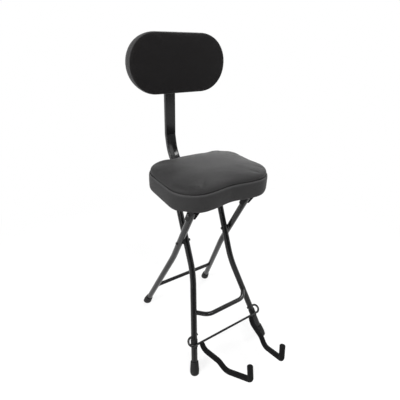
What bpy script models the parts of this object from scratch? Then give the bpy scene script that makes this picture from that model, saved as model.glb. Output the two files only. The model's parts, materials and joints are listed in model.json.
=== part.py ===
"""Folding guitar chair: crossed tube legs, a padded seat, a backrest on a bent post, a footrest
and a fold-up cradle for a guitar. Metres, +Z up. The sitter faces -Y and the floor is at zero."""

import math

import bmesh
import bpy
from mathutils import Matrix, Vector

# Clearances
TOUCH_GAP = 0.0003
PIN_GAP = 0.0003
CHEEK_GAP = 0.0009
LEG_SIDE_GAP = 0.0038
POST_GAP = 0.0005

# Crossed leg frames
LEG_DIAMETER = 0.0222
LEG_WALL = 0.0012
LEG_BEND_RADIUS = 0.40
LEG_END_HEIGHT = 0.014
CROSSING_Y = 0.0508
CROSSING_HEIGHT = 0.427
REAR_LEAN = math.radians(26.8)
FRONT_LEAN = math.radians(24.0)
REAR_SPACING = 0.2205
REAR_FOOT_SPACING = 0.3113
FRONT_FOOT_SPACING = 0.3187
REAR_BEND_HEIGHT = 0.336
FRONT_BEND_HEIGHT = 0.3155
TOP_TUBE_HEIGHT = 0.586
REAR_BAR_DIAMETER = 0.015
REAR_BAR_WALL = 0.0012
REAR_BAR_HEIGHT = 0.131

# Footrest
FOOTREST_DIAMETER = 0.016
FOOTREST_WALL = 0.0012
FOOTREST_JOIN_HEIGHT = 0.192
FOOTREST_RISE = 0.003
FOOTREST_REACH = 0.0404
FOOTREST_SPAN = 0.154
FOOTREST_BEND_RADIUS = 0.025

# Rubber feet
FOOT_RADIUS = 0.0150
FOOT_TOE_RADIUS = 0.0115
FOOT_RIM_RADIUS = 0.0135
FOOT_RIM_ROUND = 0.001
FOOT_HEIGHT = 0.040
FOOT_WIDEST_HEIGHT = 0.013
FOOT_TOE_DEPTH = 0.012

# Crossing bolts
BOLT_DIAMETER = 0.008
BOLT_HEAD_RADIUS = 0.0065
BOLT_HEAD_HEIGHT = 0.0062
BOLT_END = 0.0005
NUT_RADIUS = 0.0075
NUT_HEIGHT = 0.0035
WASHER_RADIUS = 0.009

# Seat
SEAT_UNDER_HEIGHT = 0.6178
SEAT_WIDTH = 0.3556
SEAT_REAR_Y = 0.1887
SEAT_FRONT_Y = -0.0877
SEAT_FRONT_WAIST = 0.0097
SEAT_REAR_CORNER = 0.085
SEAT_FRONT_CORNER = 0.083
SEAT_BAND = 0.065
SEAT_TUCK = 0.001
SEAT_EDGE_ROUND = 0.008
SEAT_CROWN = 0.010
SEAT_BOARD_THICKNESS = 0.012
SEAT_BOARD_INSET = 0.013
SEAT_BOARD_RECESS = 0.0008

# Seat hinge brackets
HINGE_HEIGHT = 0.580
HINGE_LEG_END = 0.014
HINGE_PIN_DIAMETER = 0.008
HINGE_PIN_HEAD_RADIUS = 0.007
HINGE_PIN_HEAD_HEIGHT = 0.003
HINGE_PIN_END = 0.0005
BRACKET_SHEET = 0.0015
BRACKET_DROP = 0.066
BRACKET_TOP_WIDTH = 0.034
BRACKET_FOOT_WIDTH = 0.021
BRACKET_SCREW_SPACING = 0.020

# Catches that hold the front frame's top tube
CATCH_SPACING = 0.104
CATCH_WIDTH = 0.024
CATCH_LIP = 0.007
CATCH_LIP_DROP = 0.006
CATCH_FLANGE = 0.020
CATCH_FLANGE_THICKNESS = 0.005
CATCH_SADDLE_FRONT = 0.012

# Receiver for the post, under the seat
RECEIVER_FRONT_Y = 0.005
RECEIVER_REAR_Y = 0.176
RECEIVER_SHEET = 0.0015
RECEIVER_FLANGE = 0.016
RECEIVER_SCREW_INSET = 0.015
POST_BOARD_GAP = 0.0020

# Clamp knob
KNOB_Y = 0.160
KNOB_RADIUS = 0.016
KNOB_LOBE = 0.002
KNOB_LOBES = 5
KNOB_HEIGHT = 0.018
KNOB_CHAMFER = 0.002
KNOB_STANDOFF = 0.004
KNOB_SCREW_DEPTH = 0.010

# Wood screws
SCREW_DIAMETER = 0.004
SCREW_HEAD_RADIUS = 0.004
SCREW_HEAD_HEIGHT = 0.0025
SCREW_GRIP = 0.008

# Backrest post
POST_WIDTH = 0.0386
POST_DEPTH = 0.016
POST_CORNER = 0.005
POST_WALL = 0.0015
POST_Y = 0.3128
POST_BEND_RADIUS = 0.12
POST_TOP_HEIGHT = 1.042
POST_FRONT_END_Y = 0.030
PLUG_FLANGE = 0.002
PLUG_DEPTH = 0.010

# Backrest pad
BACK_WIDTH = 0.3554
BACK_HEIGHT = 0.1855
BACK_BELOW_POST_TOP = 0.0575
BACK_REAR_Y = 0.2798
BACK_BAND = 0.044
BACK_TUCK = 0.012
BACK_EDGE_ROUND = 0.013
BACK_CROWN = 0.006
BACK_BOARD_THICKNESS = 0.010
BACK_BOARD_INSET = 0.014
BACK_BOARD_RECESS = 0.0008
BACK_PLATE_SHEET = 0.002
BACK_PLATE_HEIGHT = 0.090
BACK_PLATE_WEB = 0.052
BACK_PLATE_FLANGE = 0.018
BACK_BOLT_SPACING = 0.050
BACK_SCREW_SPACING = 0.066

# Guitar cradle
ROD_DIAMETER = 0.008
CRADLE_PIVOT_HEIGHT = 0.116
ROD_DROP = 0.016
ROD_STUB = 0.0145
ROD_INNER_END = 0.0145
REST_SLEEVE_RADIUS = 0.0125
REST_SLEEVE_LENGTH = 0.028
HOOK_SPACING = 0.2312
HOOK_TOE_IN = math.radians(12.9)
HOOK_FOAM_DIAMETER = 0.0190
HOOK_FOAM_START = 0.009
HOOK_FOAM_END = 0.0095
# Hook corners: how far in front of the rod and how high above it, with each bend's radius
HOOK_CORNERS = (
    (0.0110, -0.0267, 0.026),
    (0.0838, -0.0225, 0.034),
    (0.1154, -0.0404, 0.034),
    (0.2115, 0.0140, 0.0125),
)
HOOK_TIP = (0.2019, 0.0748)

# Facets
LEG_SIDES = 16
BAR_SIDES = 12
ROD_SIDES = 10
FOAM_SIDES = 12
SCREW_SIDES = 8
BEND_STEP = math.radians(15.0)
LEG_BEND_STEP = math.radians(3.0)
CORNER_STEPS = 3
SMOOTH_ANGLE = math.radians(40.0)
CATCH_STEPS = 5
KNOB_LOBE_STEPS = 8
SEAT_CORNER_STEPS = 5
SEAT_FRONT_STEPS = 4
BACK_END_STEPS = 10

# Profiles, as shares of the sizes above
PIN_HEAD_BEVEL = (0.7, 0.5)
FOAM_TIP_SHARES = (0.4, 0.75)
CROWN_SHARES = (0.2, 0.45, 0.7)
# Side of a pad below its edge: how far in as a share of the tuck, how high as a share of the band
PAD_SIDE = ((1.0, 0.0), (0.35, 0.10), (0.06, 0.28), (0.0, 0.55), (0.06, 0.85))
# Rounded edge of a pad: how far in and how far above the band, as shares of the edge's radius
PAD_EDGE = ((0.15, 0.0), (0.50, 0.45), (1.30, 0.70))
# Toe of a foot: radius and depth as shares of the toe's own
FOOT_TOE = ((0.0, 1.0), (0.7, 0.85), (1.0, 0.35))

# Values that follow from those above
LEG_RADIUS = LEG_DIAMETER / 2
REAR_HALF = REAR_SPACING / 2
FRONT_HALF = REAR_HALF - LEG_DIAMETER - LEG_SIDE_GAP
BOLT_RADIUS = BOLT_DIAMETER / 2
ROD_RADIUS = ROD_DIAMETER / 2
FOAM_RADIUS = HOOK_FOAM_DIAMETER / 2
SCREW_RADIUS = SCREW_DIAMETER / 2
PIN_RADIUS = HINGE_PIN_DIAMETER / 2
UNDER_BOARD = SEAT_UNDER_HEIGHT - TOUCH_GAP
POST_RUN_HEIGHT = SEAT_UNDER_HEIGHT - POST_BOARD_GAP - POST_DEPTH / 2
RECEIVER_WEB_TOP = POST_RUN_HEIGHT - POST_DEPTH / 2 - POST_GAP
RECEIVER_WEB_UNDER = RECEIVER_WEB_TOP - RECEIVER_SHEET
BACK_CENTRE_HEIGHT = POST_TOP_HEIGHT - BACK_BELOW_POST_TOP
RECEIVER_INNER_HALF = POST_WIDTH / 2 + POST_GAP
RECEIVER_OUTER_HALF = RECEIVER_INNER_HALF + RECEIVER_SHEET
POST_FRONT_Y = POST_Y - POST_DEPTH / 2
POST_BACK_Y = POST_Y + POST_DEPTH / 2
PLATE_WEB_REAR = POST_FRONT_Y - TOUCH_GAP
PLATE_WEB_FRONT = PLATE_WEB_REAR - BACK_PLATE_SHEET
PLATE_FLANGE_FRONT = BACK_REAR_Y + TOUCH_GAP
PLATE_FLANGE_REAR = PLATE_FLANGE_FRONT + BACK_PLATE_SHEET
SIDES = (("left", 1), ("right", -1))
ACROSS = Vector((1, 0, 0))
BACKWARD = Vector((0, 1, 0))
FORWARD = Vector((0, -1, 0))
UP = Vector((0, 0, 1))
DOWN = Vector((0, 0, -1))
SAME_PLACE = 1e-6

bodies = {}
finishes = {}


# Places on the leg frames


def rear_y(height):
    """Depth of the rear legs' plane at a height; it leans forward going up."""
    return CROSSING_Y - (height - CROSSING_HEIGHT) * math.tan(REAR_LEAN)


def front_y(height):
    """Depth of the front legs' plane at a height; it leans back going up."""
    return CROSSING_Y + (height - CROSSING_HEIGHT) * math.tan(FRONT_LEAN)


def splayed_x(height, half, foot_half, bend_height):
    """Distance of a leg's centre from the middle: upright above its bend, splayed below."""
    below = max(0.0, bend_height - height) / bend_height
    return half + (foot_half - half) * below


def rear_point(height):
    """Centre of the left rear leg at a height."""
    x = splayed_x(height, REAR_HALF, REAR_FOOT_SPACING / 2, REAR_BEND_HEIGHT)
    return Vector((x, rear_y(height), height))


def front_point(height):
    """Centre of the left front leg at a height."""
    x = splayed_x(height, FRONT_HALF, FRONT_FOOT_SPACING / 2, FRONT_BEND_HEIGHT)
    return Vector((x, front_y(height), height))


def rod_line():
    """Depth and height of the cradle's cross rod, which rests on the front legs' sleeves."""
    height = CRADLE_PIVOT_HEIGHT - ROD_DROP
    stand_off = REST_SLEEVE_RADIUS + TOUCH_GAP + ROD_RADIUS
    return front_y(height) - stand_off / math.cos(FRONT_LEAN), height


def mirrored(point, side):
    """The same point on the left side, +1, or on the right side, -1."""
    return Vector((point.x * side, point.y, point.z))


# Scene, materials and bodies


def clear_scene():
    for item in list(bpy.data.objects):
        bpy.data.objects.remove(item, do_unlink=True)


def make_finish(name, colour, roughness, metallic):
    finish = bpy.data.materials.new(name)
    finish.use_nodes = True
    shader = finish.node_tree.nodes["Principled BSDF"]
    shader.inputs["Base Color"].default_value = (*colour, 1.0)
    shader.inputs["Roughness"].default_value = roughness
    shader.inputs["Metallic"].default_value = metallic
    finish.diffuse_color = (*colour, 1.0)
    finishes[name] = finish


def make_finishes():
    make_finish("black_paint", (0.022, 0.022, 0.024), 0.30, 0.0)
    make_finish("zinc_steel", (0.55, 0.55, 0.56), 0.35, 1.0)
    make_finish("black_rubber", (0.030, 0.030, 0.031), 0.80, 0.0)
    make_finish("black_plastic", (0.025, 0.025, 0.026), 0.50, 0.0)
    make_finish("seat_leatherette", (0.050, 0.048, 0.050), 0.48, 0.0)
    make_finish("back_fabric", (0.014, 0.013, 0.014), 0.90, 0.0)
    make_finish("hook_foam", (0.028, 0.028, 0.029), 0.85, 0.0)
    make_finish("plywood", (0.034, 0.031, 0.029), 0.70, 0.0)


def make_body(name, origin):
    """An empty on the joint's axis, which carries the pieces of one moving body."""
    empty = bpy.data.objects.new(name + "_axis", None)
    empty.location = origin
    bpy.context.scene.collection.objects.link(empty)
    bodies[name] = empty


def make_bodies():
    rod_pivot = front_point(CRADLE_PIVOT_HEIGHT)
    make_body("rear_frame", (0, 0, 0))
    make_body("front_frame", (0, CROSSING_Y, CROSSING_HEIGHT))
    make_body("seat", (0, rear_y(HINGE_HEIGHT), HINGE_HEIGHT))
    make_body("cradle", (0, rod_pivot.y, rod_pivot.z))
    make_body("backrest", (0, POST_FRONT_END_Y, POST_RUN_HEIGHT))
    make_body("knob", (0, KNOB_Y, RECEIVER_WEB_UNDER))


def add_object(name, shape, finish=None, body=None):
    """Turns a bmesh drawn in world places into an object, carried by its body's empty."""
    bmesh.ops.recalc_face_normals(shape, faces=shape.faces)
    mesh = bpy.data.meshes.new(name)
    if body:
        shape.transform(Matrix.Translation(-bodies[body].location))
    shape.to_mesh(mesh)
    shape.free()
    item = bpy.data.objects.new(name, mesh)
    bpy.context.scene.collection.objects.link(item)
    if body:
        item.parent = bodies[body]
    if finish:
        mesh.materials.append(finishes[finish])
    smooth(mesh)
    return item


def smooth(mesh):
    mesh.shade_smooth()
    mesh.set_sharp_from_angle(angle=SMOOTH_ANGLE)


def cut_away(item, cutter_shape):
    """Cuts a bmesh out of an object for good."""
    cutter = add_object("cutter", cutter_shape)
    cutter.hide_render = True
    cutter.display_type = "WIRE"
    boolean = item.modifiers.new("cut", "BOOLEAN")
    boolean.operation = "DIFFERENCE"
    boolean.object = cutter
    bpy.context.view_layer.update()
    graph = bpy.context.evaluated_depsgraph_get()
    result = bpy.data.meshes.new_from_object(item.evaluated_get(graph))
    item.modifiers.clear()
    uncut = item.data
    item.data = result
    result.name = item.name
    bpy.data.meshes.remove(uncut)
    bpy.data.objects.remove(cutter, do_unlink=True)
    smooth(result)


# Shapes


def bent_path(corners, radii, step=BEND_STEP):
    """Points along straight runs joined by arcs, one radius for each inner corner."""
    points = [corners[0]]
    for before, corner, after, radius in zip(corners, corners[1:], corners[2:], radii):
        to_before = (before - corner).normalized()
        to_after = (after - corner).normalized()
        half_angle = to_before.angle(to_after) / 2
        centre = corner + (to_before + to_after).normalized() * radius / math.sin(half_angle)
        start = corner + to_before * radius / math.tan(half_angle) - centre
        turn = math.pi - 2 * half_angle
        axis = start.cross(-to_before)
        steps = max(2, math.ceil(turn / step))
        for index in range(steps + 1):
            point = centre + Matrix.Rotation(turn * index / steps, 3, axis) @ start
            if (point - points[-1]).length > SAME_PLACE:
                points.append(point)
    points.append(corners[-1])
    return points


def path_frames(path, across):
    """Tangent and two section axes at each point; across is the first section axis."""
    frames = []
    for index, point in enumerate(path):
        before = point - path[index - 1] if index else path[1] - point
        after = path[index + 1] - point if index < len(path) - 1 else before
        tangent = (before.normalized() + after.normalized()).normalized()
        across = (across - tangent * across.dot(tangent)).normalized()
        frames.append((tangent, across, tangent.cross(across)))
    return frames


def circle(radius, sides):
    turns = [2 * math.pi * index / sides for index in range(sides)]
    return [(radius * math.cos(turn), radius * math.sin(turn)) for turn in turns]


def rounded_rectangle(width, depth, corner):
    """Outline of a flat tube, corner by corner."""
    points = []
    for quarter, (sign_x, sign_y) in enumerate(((1, 1), (-1, 1), (-1, -1), (1, -1))):
        centre_x = sign_x * (width / 2 - corner)
        centre_y = sign_y * (depth / 2 - corner)
        for index in range(CORNER_STEPS + 1):
            turn = (quarter + index / CORNER_STEPS) * math.pi / 2
            points.append((centre_x + corner * math.cos(turn), centre_y + corner * math.sin(turn)))
    return points


def ring(shape, place, points):
    """One closed ring of vertices: a function puts each outline point in its place."""
    return [shape.verts.new(place(x, y)) for x, y in points]


def sweep_rings(shape, path, section, across):
    """A ring of the section at each point of the path."""
    rings = []
    for point, (_, side, rise) in zip(path, path_frames(path, across)):
        rings.append(ring(shape, lambda x, y: point + side * x + rise * y, section))
    return rings


def skin(shape, rings):
    """Faces between rings in order; a ring of one vertex is a pole."""
    for first, second in zip(rings, rings[1:]):
        count = max(len(first), len(second))
        for index in range(count):
            following = (index + 1) % count
            corners = [first[index % len(first)]]
            if len(first) > 1:
                corners.append(first[following])
            if len(second) > 1:
                corners.append(second[following])
            corners.append(second[index % len(second)])
            shape.faces.new(corners)


def swept_solid(path, section, across=ACROSS):
    shape = bmesh.new()
    rings = sweep_rings(shape, path, section, across)
    skin(shape, rings)
    shape.faces.new(rings[0])
    shape.faces.new(rings[-1])
    return shape


def swept_tube(path, section, bore, across=ACROSS):
    """A hollow tube, open at both ends."""
    shape = bmesh.new()
    outside = sweep_rings(shape, path, section, across)
    inside = sweep_rings(shape, path, bore, across)
    skin(shape, [inside[0], *outside, *reversed(inside)])
    return shape


def turned(profile, sides, place=Matrix.Identity(4)):
    """A solid turned round local Z from (radius, height) points; a zero radius makes a pole."""
    shape = bmesh.new()
    rings = []
    for radius, height in profile:
        outline = circle(radius, sides) if radius > 0 else [(0.0, 0.0)]
        rings.append(ring(shape, lambda x, y: place @ Vector((x, y, height)), outline))
    if len(rings[0]) > 1:
        rings.append(rings[0])
    skin(shape, rings)
    return shape


def prism(outline, place, low, high):
    """A solid with the same outline at two levels along local Z."""
    shape = bmesh.new()
    bottom = ring(shape, lambda x, y: place @ Vector((x, y, low)), outline)
    top = ring(shape, lambda x, y: place @ Vector((x, y, high)), outline)
    skin(shape, [bottom, top])
    shape.faces.new(bottom)
    shape.faces.new(top)
    return shape


def aimed(origin, direction):
    """Matrix that turns local Z to a direction, at a place."""
    turn = Vector(direction).to_track_quat("Z", "Y").to_matrix().to_4x4()
    return Matrix.Translation(origin) @ turn


def drill(start, end, radius, sides=BAR_SIDES):
    """A plain cylinder between two points, for cutting a hole."""
    length = (end - start).length
    profile = ((0, 0), (radius, 0), (radius, length), (0, length))
    return turned(profile, sides, aimed(start, end - start))


def joined(shapes):
    """Several closed shapes in one bmesh, for one cut."""
    whole = bmesh.new()
    for shape in shapes:
        part = bpy.data.meshes.new("cutter_part")
        shape.to_mesh(part)
        shape.free()
        whole.from_mesh(part)
        bpy.data.meshes.remove(part)
    return whole


def headed_pin(origin, direction, head_radius, head_height, radius, length, sides):
    """A pin or screw: its head starts at the origin, backwards, and its shank runs forwards."""
    bevel_radius, bevel_height = PIN_HEAD_BEVEL
    profile = (
        (0, -head_height),
        (head_radius * bevel_radius, -head_height),
        (head_radius, -head_height * bevel_height),
        (head_radius, 0),
        (radius, 0),
        (radius, length),
        (0, length),
    )
    return turned(profile, sides, aimed(origin, direction))


def bolt_shape(origin, direction, length):
    return headed_pin(
        origin, direction, BOLT_HEAD_RADIUS, BOLT_HEAD_HEIGHT, BOLT_RADIUS, length, BAR_SIDES
    )


def nut_shape(origin, direction, bore_radius):
    """A hexagon nut with a round bore, from the origin along the direction."""
    place = aimed(origin, direction)
    flat_radius = NUT_RADIUS * math.cos(math.pi / 6)
    hexagon = []
    for index, (x, y) in enumerate(circle(1.0, BAR_SIDES)):
        reach = flat_radius if index % 2 else NUT_RADIUS
        hexagon.append((x * reach, y * reach))
    bore = circle(bore_radius, BAR_SIDES)
    levels = ((bore, 0.0), (hexagon, 0.0), (hexagon, NUT_HEIGHT), (bore, NUT_HEIGHT))
    shape = bmesh.new()
    rings = []
    for outline, height in levels:
        rings.append(ring(shape, lambda x, y: place @ Vector((x, y, height)), outline))
    skin(shape, [*rings, rings[0]])
    return shape


# Leg frames


def add_leg(name, points, drills, body):
    """A bent leg tube with its pin holes."""
    path = bent_path(points, (LEG_BEND_RADIUS,), LEG_BEND_STEP)
    bore = circle(LEG_RADIUS - LEG_WALL, LEG_SIDES)
    tube = swept_tube(path, circle(LEG_RADIUS, LEG_SIDES), bore)
    leg = add_object(name, tube, "black_paint", body)
    cut_away(leg, joined(drills))
    return leg


def cross_drill(point, radius):
    """A hole along X through a leg."""
    reach = Vector((LEG_DIAMETER, 0, 0))
    return drill(point - reach, point + reach, radius + PIN_GAP)


def add_rear_legs():
    top_height = HINGE_HEIGHT + HINGE_LEG_END * math.cos(REAR_LEAN)
    for name, side in SIDES:
        heights = (LEG_END_HEIGHT, REAR_BEND_HEIGHT, top_height)
        points = [mirrored(rear_point(height), side) for height in heights]
        drills = [
            cross_drill(mirrored(rear_point(HINGE_HEIGHT), side), PIN_RADIUS),
            cross_drill(mirrored(rear_point(CROSSING_HEIGHT), side), BOLT_RADIUS),
        ]
        add_leg("rear_leg_" + name, points, drills, "rear_frame")


def add_front_legs():
    for name, side in SIDES:
        heights = (LEG_END_HEIGHT, FRONT_BEND_HEIGHT, TOP_TUBE_HEIGHT)
        points = [mirrored(front_point(height), side) for height in heights]
        top = front_point(TOP_TUBE_HEIGHT)
        span = Vector((FRONT_HALF + LEG_DIAMETER, 0, 0))
        middle = Vector((0, top.y, top.z))
        drills = [
            cross_drill(mirrored(front_point(CROSSING_HEIGHT), side), BOLT_RADIUS),
            cross_drill(mirrored(front_point(CRADLE_PIVOT_HEIGHT), side), ROD_RADIUS),
            drill(middle - span, middle + span, LEG_RADIUS + TOUCH_GAP, LEG_SIDES),
        ]
        add_leg("front_leg_" + name, points, drills, "front_frame")


def leg_cope(point, bend_height):
    """Cutters of both splayed legs, for the ends of a bar that is welded between them."""
    cutters = []
    for _, side in SIDES:
        foot = mirrored(point(0.0), side)
        bend = mirrored(point(bend_height), side)
        cutters.append(drill(foot, bend, LEG_RADIUS + TOUCH_GAP, LEG_SIDES))
    return joined(cutters)


def add_rear_bar():
    ends = [mirrored(rear_point(REAR_BAR_HEIGHT), side) for _, side in SIDES]
    radius = REAR_BAR_DIAMETER / 2
    section = circle(radius, BAR_SIDES)
    bore = circle(radius - REAR_BAR_WALL, BAR_SIDES)
    bar = add_object("rear_cross_bar", swept_tube(ends, section, bore, UP), "black_paint", "rear_frame")
    cut_away(bar, leg_cope(rear_point, REAR_BEND_HEIGHT))


def add_top_tube():
    top = front_point(TOP_TUBE_HEIGHT)
    half = FRONT_HALF + LEG_RADIUS
    ends = [Vector((half, top.y, top.z)), Vector((-half, top.y, top.z))]
    section = circle(LEG_RADIUS, LEG_SIDES)
    bore = circle(LEG_RADIUS - LEG_WALL, LEG_SIDES)
    tube = swept_tube(ends, section, bore, UP)
    add_object("front_top_tube", tube, "black_paint", "front_frame")


def add_footrest():
    """A bar that comes forward and inward off each front leg and runs straight across."""
    join = front_point(FOOTREST_JOIN_HEIGHT)
    corner = Vector((FOOTREST_SPAN / 2, join.y - FOOTREST_REACH, join.z + FOOTREST_RISE))
    corners = [join, corner, mirrored(corner, -1), mirrored(join, -1)]
    path = bent_path(corners, (FOOTREST_BEND_RADIUS, FOOTREST_BEND_RADIUS))
    radius = FOOTREST_DIAMETER / 2
    section = circle(radius, BAR_SIDES)
    bore = circle(radius - FOOTREST_WALL, BAR_SIDES)
    bar = add_object("footrest", swept_tube(path, section, bore, UP), "black_paint", "front_frame")
    cut_away(bar, leg_cope(front_point, FRONT_BEND_HEIGHT))


def add_feet(prefix, point, body):
    """Bell-shaped rubber caps on the leg ends, cut flat where they stand."""
    floor_point = point(0.0)
    leg_end = point(LEG_END_HEIGHT)
    bore_radius = LEG_RADIUS + TOUCH_GAP
    bore_floor = (leg_end - floor_point).length - TOUCH_GAP
    toe = [(FOOT_TOE_RADIUS * wide, -FOOT_TOE_DEPTH * deep) for wide, deep in FOOT_TOE]
    profile = (
        *toe,
        (FOOT_RADIUS, FOOT_WIDEST_HEIGHT),
        ((FOOT_RADIUS + FOOT_RIM_RADIUS) / 2, (FOOT_WIDEST_HEIGHT + FOOT_HEIGHT) / 2),
        (FOOT_RIM_RADIUS, FOOT_HEIGHT - FOOT_RIM_ROUND),
        (FOOT_RIM_RADIUS - FOOT_RIM_ROUND, FOOT_HEIGHT),
        (bore_radius, FOOT_HEIGHT),
        (bore_radius, bore_floor),
        (0, bore_floor),
    )
    for name, side in SIDES:
        origin = mirrored(floor_point, side)
        shape = turned(profile, LEG_SIDES, aimed(origin, mirrored(leg_end, side) - origin))
        everything = shape.verts[:] + shape.edges[:] + shape.faces[:]
        bmesh.ops.bisect_plane(
            shape, geom=everything, plane_co=(0, 0, 0), plane_no=DOWN, clear_outer=True
        )
        bmesh.ops.holes_fill(shape, edges=[edge for edge in shape.edges if edge.is_boundary])
        add_object(prefix + "_foot_" + name, shape, "black_rubber", body)


def add_crossing_bolts():
    """A bolt, spacer and nut where each front leg crosses its rear leg."""
    for name, side in SIDES:
        outward = Vector((side, 0, 0))
        centre = Vector((0, CROSSING_Y, CROSSING_HEIGHT))
        head = REAR_HALF + LEG_RADIUS + TOUCH_GAP
        nut_outer = FRONT_HALF - LEG_RADIUS - TOUCH_GAP
        nut_inner = nut_outer - NUT_HEIGHT
        length = head - nut_inner + BOLT_END
        bolt = bolt_shape(centre + outward * head, -outward, length)
        add_object("crossing_bolt_" + name, bolt, "zinc_steel", "rear_frame")
        nut = nut_shape(centre + outward * nut_outer, -outward, BOLT_RADIUS + TOUCH_GAP)
        add_object("crossing_nut_" + name, nut, "zinc_steel", "rear_frame")
        thickness = LEG_SIDE_GAP - 2 * TOUCH_GAP
        inner = BOLT_RADIUS + TOUCH_GAP
        profile = ((inner, 0), (WASHER_RADIUS, 0), (WASHER_RADIUS, thickness), (inner, thickness))
        start = centre + outward * (FRONT_HALF + LEG_RADIUS + TOUCH_GAP)
        spacer = turned(profile, BAR_SIDES, aimed(start, outward))
        add_object("crossing_spacer_" + name, spacer, "black_plastic", "rear_frame")


# Padded pieces


def half_seat_outline():
    """The seat's left half from above, from the middle of its rear edge to the middle of its front."""
    half = SEAT_WIDTH / 2
    rear_flat = half - SEAT_REAR_CORNER
    front_flat = half - SEAT_FRONT_CORNER
    points = [(0.0, SEAT_REAR_Y), (rear_flat / 2, SEAT_REAR_Y)]
    for step in range(SEAT_CORNER_STEPS + 1):
        turn = math.pi / 2 * (1 - step / SEAT_CORNER_STEPS)
        x = rear_flat + SEAT_REAR_CORNER * math.cos(turn)
        points.append((x, SEAT_REAR_Y - SEAT_REAR_CORNER + SEAT_REAR_CORNER * math.sin(turn)))
    middle_y = (SEAT_REAR_Y - SEAT_REAR_CORNER + SEAT_FRONT_Y + SEAT_FRONT_CORNER) / 2
    points.append((half, middle_y))
    for step in range(SEAT_CORNER_STEPS + 1):
        turn = -math.pi / 2 * step / SEAT_CORNER_STEPS
        x = front_flat + SEAT_FRONT_CORNER * math.cos(turn)
        points.append((x, SEAT_FRONT_Y + SEAT_FRONT_CORNER + SEAT_FRONT_CORNER * math.sin(turn)))
    for step in reversed(range(SEAT_FRONT_STEPS)):
        share = step / SEAT_FRONT_STEPS
        dip = SEAT_FRONT_WAIST * (1 + math.cos(math.pi * share)) / 2
        points.append((front_flat * share, SEAT_FRONT_Y + dip))
    return points


def seat_outline():
    half = half_seat_outline()
    other = [(-x, y) for x, y in reversed(half[1:-1])]
    return list(reversed(half + other))


def back_outline():
    """A bar with round ends, about its own centre."""
    end = BACK_HEIGHT / 2
    flat = BACK_WIDTH / 2 - end
    points = []
    for side in (1, -1):
        points.append((0.0, -side * end))
        for step in range(BACK_END_STEPS + 1):
            turn = math.pi * (step / BACK_END_STEPS - 1 / 2)
            points.append((side * (flat + end * math.cos(turn)), side * end * math.sin(turn)))
    return points


def inset(outline, distance):
    """The outline moved inward by a distance, square to its edges."""
    moved = []
    for index, (x, y) in enumerate(outline):
        before = Vector(outline[index - 1])
        after = Vector(outline[(index + 1) % len(outline)])
        along = (after - before).normalized()
        moved.append((x - along.y * distance, y + along.x * distance))
    return moved


def towards_middle(outline, middle, share):
    return [(x + (middle[0] - x) * share, y + (middle[1] - y) * share) for x, y in outline]


def padded_shape(outline, middle, place, sizes):
    """A cushion over a board: tucked under, swelling at its sides, rounded over to a crowned top."""
    band, tuck, edge, crown, pocket_inset, pocket_depth = sizes
    levels = [(pocket_inset, 0.0)]
    levels += [(tuck * inward, band * rise) for inward, rise in PAD_SIDE]
    levels += [(edge * inward, band + edge * rise) for inward, rise in PAD_EDGE]
    shape = bmesh.new()
    rings = [[shape.verts.new(place @ Vector((*middle, pocket_depth)))]]
    pocket = inset(outline, pocket_inset)
    rings.append(ring(shape, lambda x, y: place @ Vector((x, y, pocket_depth)), pocket))
    for distance, height in levels:
        rings.append(ring(shape, lambda x, y: place @ Vector((x, y, height)), inset(outline, distance)))
    last_inset, last_height = levels[-1]
    rim = inset(outline, last_inset)
    for share in CROWN_SHARES:
        height = last_height + crown * (1 - (1 - share) ** 2)
        points = towards_middle(rim, middle, share)
        rings.append(ring(shape, lambda x, y: place @ Vector((x, y, height)), points))
    rings.append([shape.verts.new(place @ Vector((*middle, last_height + crown)))])
    skin(shape, rings)
    return shape


def seat_place():
    return Matrix.Translation((0, 0, SEAT_UNDER_HEIGHT - SEAT_BOARD_RECESS))


def back_place():
    """Local Z points forward out of the backrest, local Y up."""
    origin = (0, BACK_REAR_Y + BACK_BOARD_RECESS, BACK_CENTRE_HEIGHT)
    return Matrix.Translation(origin) @ Matrix.Rotation(math.pi / 2, 4, "X")


def add_seat_cushion():
    pocket_depth = SEAT_BOARD_RECESS + SEAT_BOARD_THICKNESS + TOUCH_GAP
    pocket_inset = SEAT_BOARD_INSET - TOUCH_GAP
    sizes = (SEAT_BAND, SEAT_TUCK, SEAT_EDGE_ROUND, SEAT_CROWN, pocket_inset, pocket_depth)
    middle = (0.0, (SEAT_REAR_Y + SEAT_FRONT_Y) / 2)
    shape = padded_shape(seat_outline(), middle, seat_place(), sizes)
    add_object("seat_cushion", shape, "seat_leatherette", "seat")


def add_back_cushion():
    pocket_depth = BACK_BOARD_RECESS + BACK_BOARD_THICKNESS + TOUCH_GAP
    pocket_inset = BACK_BOARD_INSET - TOUCH_GAP
    sizes = (BACK_BAND, BACK_TUCK, BACK_EDGE_ROUND, BACK_CROWN, pocket_inset, pocket_depth)
    shape = padded_shape(back_outline(), (0.0, 0.0), back_place(), sizes)
    add_object("back_cushion", shape, "back_fabric", "backrest")


# Seat underside


def add_screw(name, origin, direction, plate_thickness, body):
    """A wood screw through a plate whose near face is at the origin."""
    start = Vector(origin) - direction * TOUCH_GAP
    length = plate_thickness + SCREW_GRIP
    shape = headed_pin(
        start, direction, SCREW_HEAD_RADIUS, SCREW_HEAD_HEIGHT, SCREW_RADIUS, length, SCREW_SIDES
    )
    add_object(name, shape, "zinc_steel", body)


def screw_hole(origin, direction, plate_thickness):
    """The hole for such a screw, a little deeper and wider, through the plate and into the board."""
    depth = plate_thickness + SCREW_GRIP + 2 * TOUCH_GAP
    start = Vector(origin) - direction * SCREW_HEAD_HEIGHT
    end = Vector(origin) + direction * depth
    return drill(start, end, SCREW_RADIUS + TOUCH_GAP, SCREW_SIDES)


def bracket_top_y():
    """Middle depth of the brackets' top plates; their rear edges line up with the legs."""
    leg_rear = rear_y(UNDER_BOARD) + LEG_RADIUS / math.cos(REAR_LEAN)
    return leg_rear - BRACKET_TOP_WIDTH / 2


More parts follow.
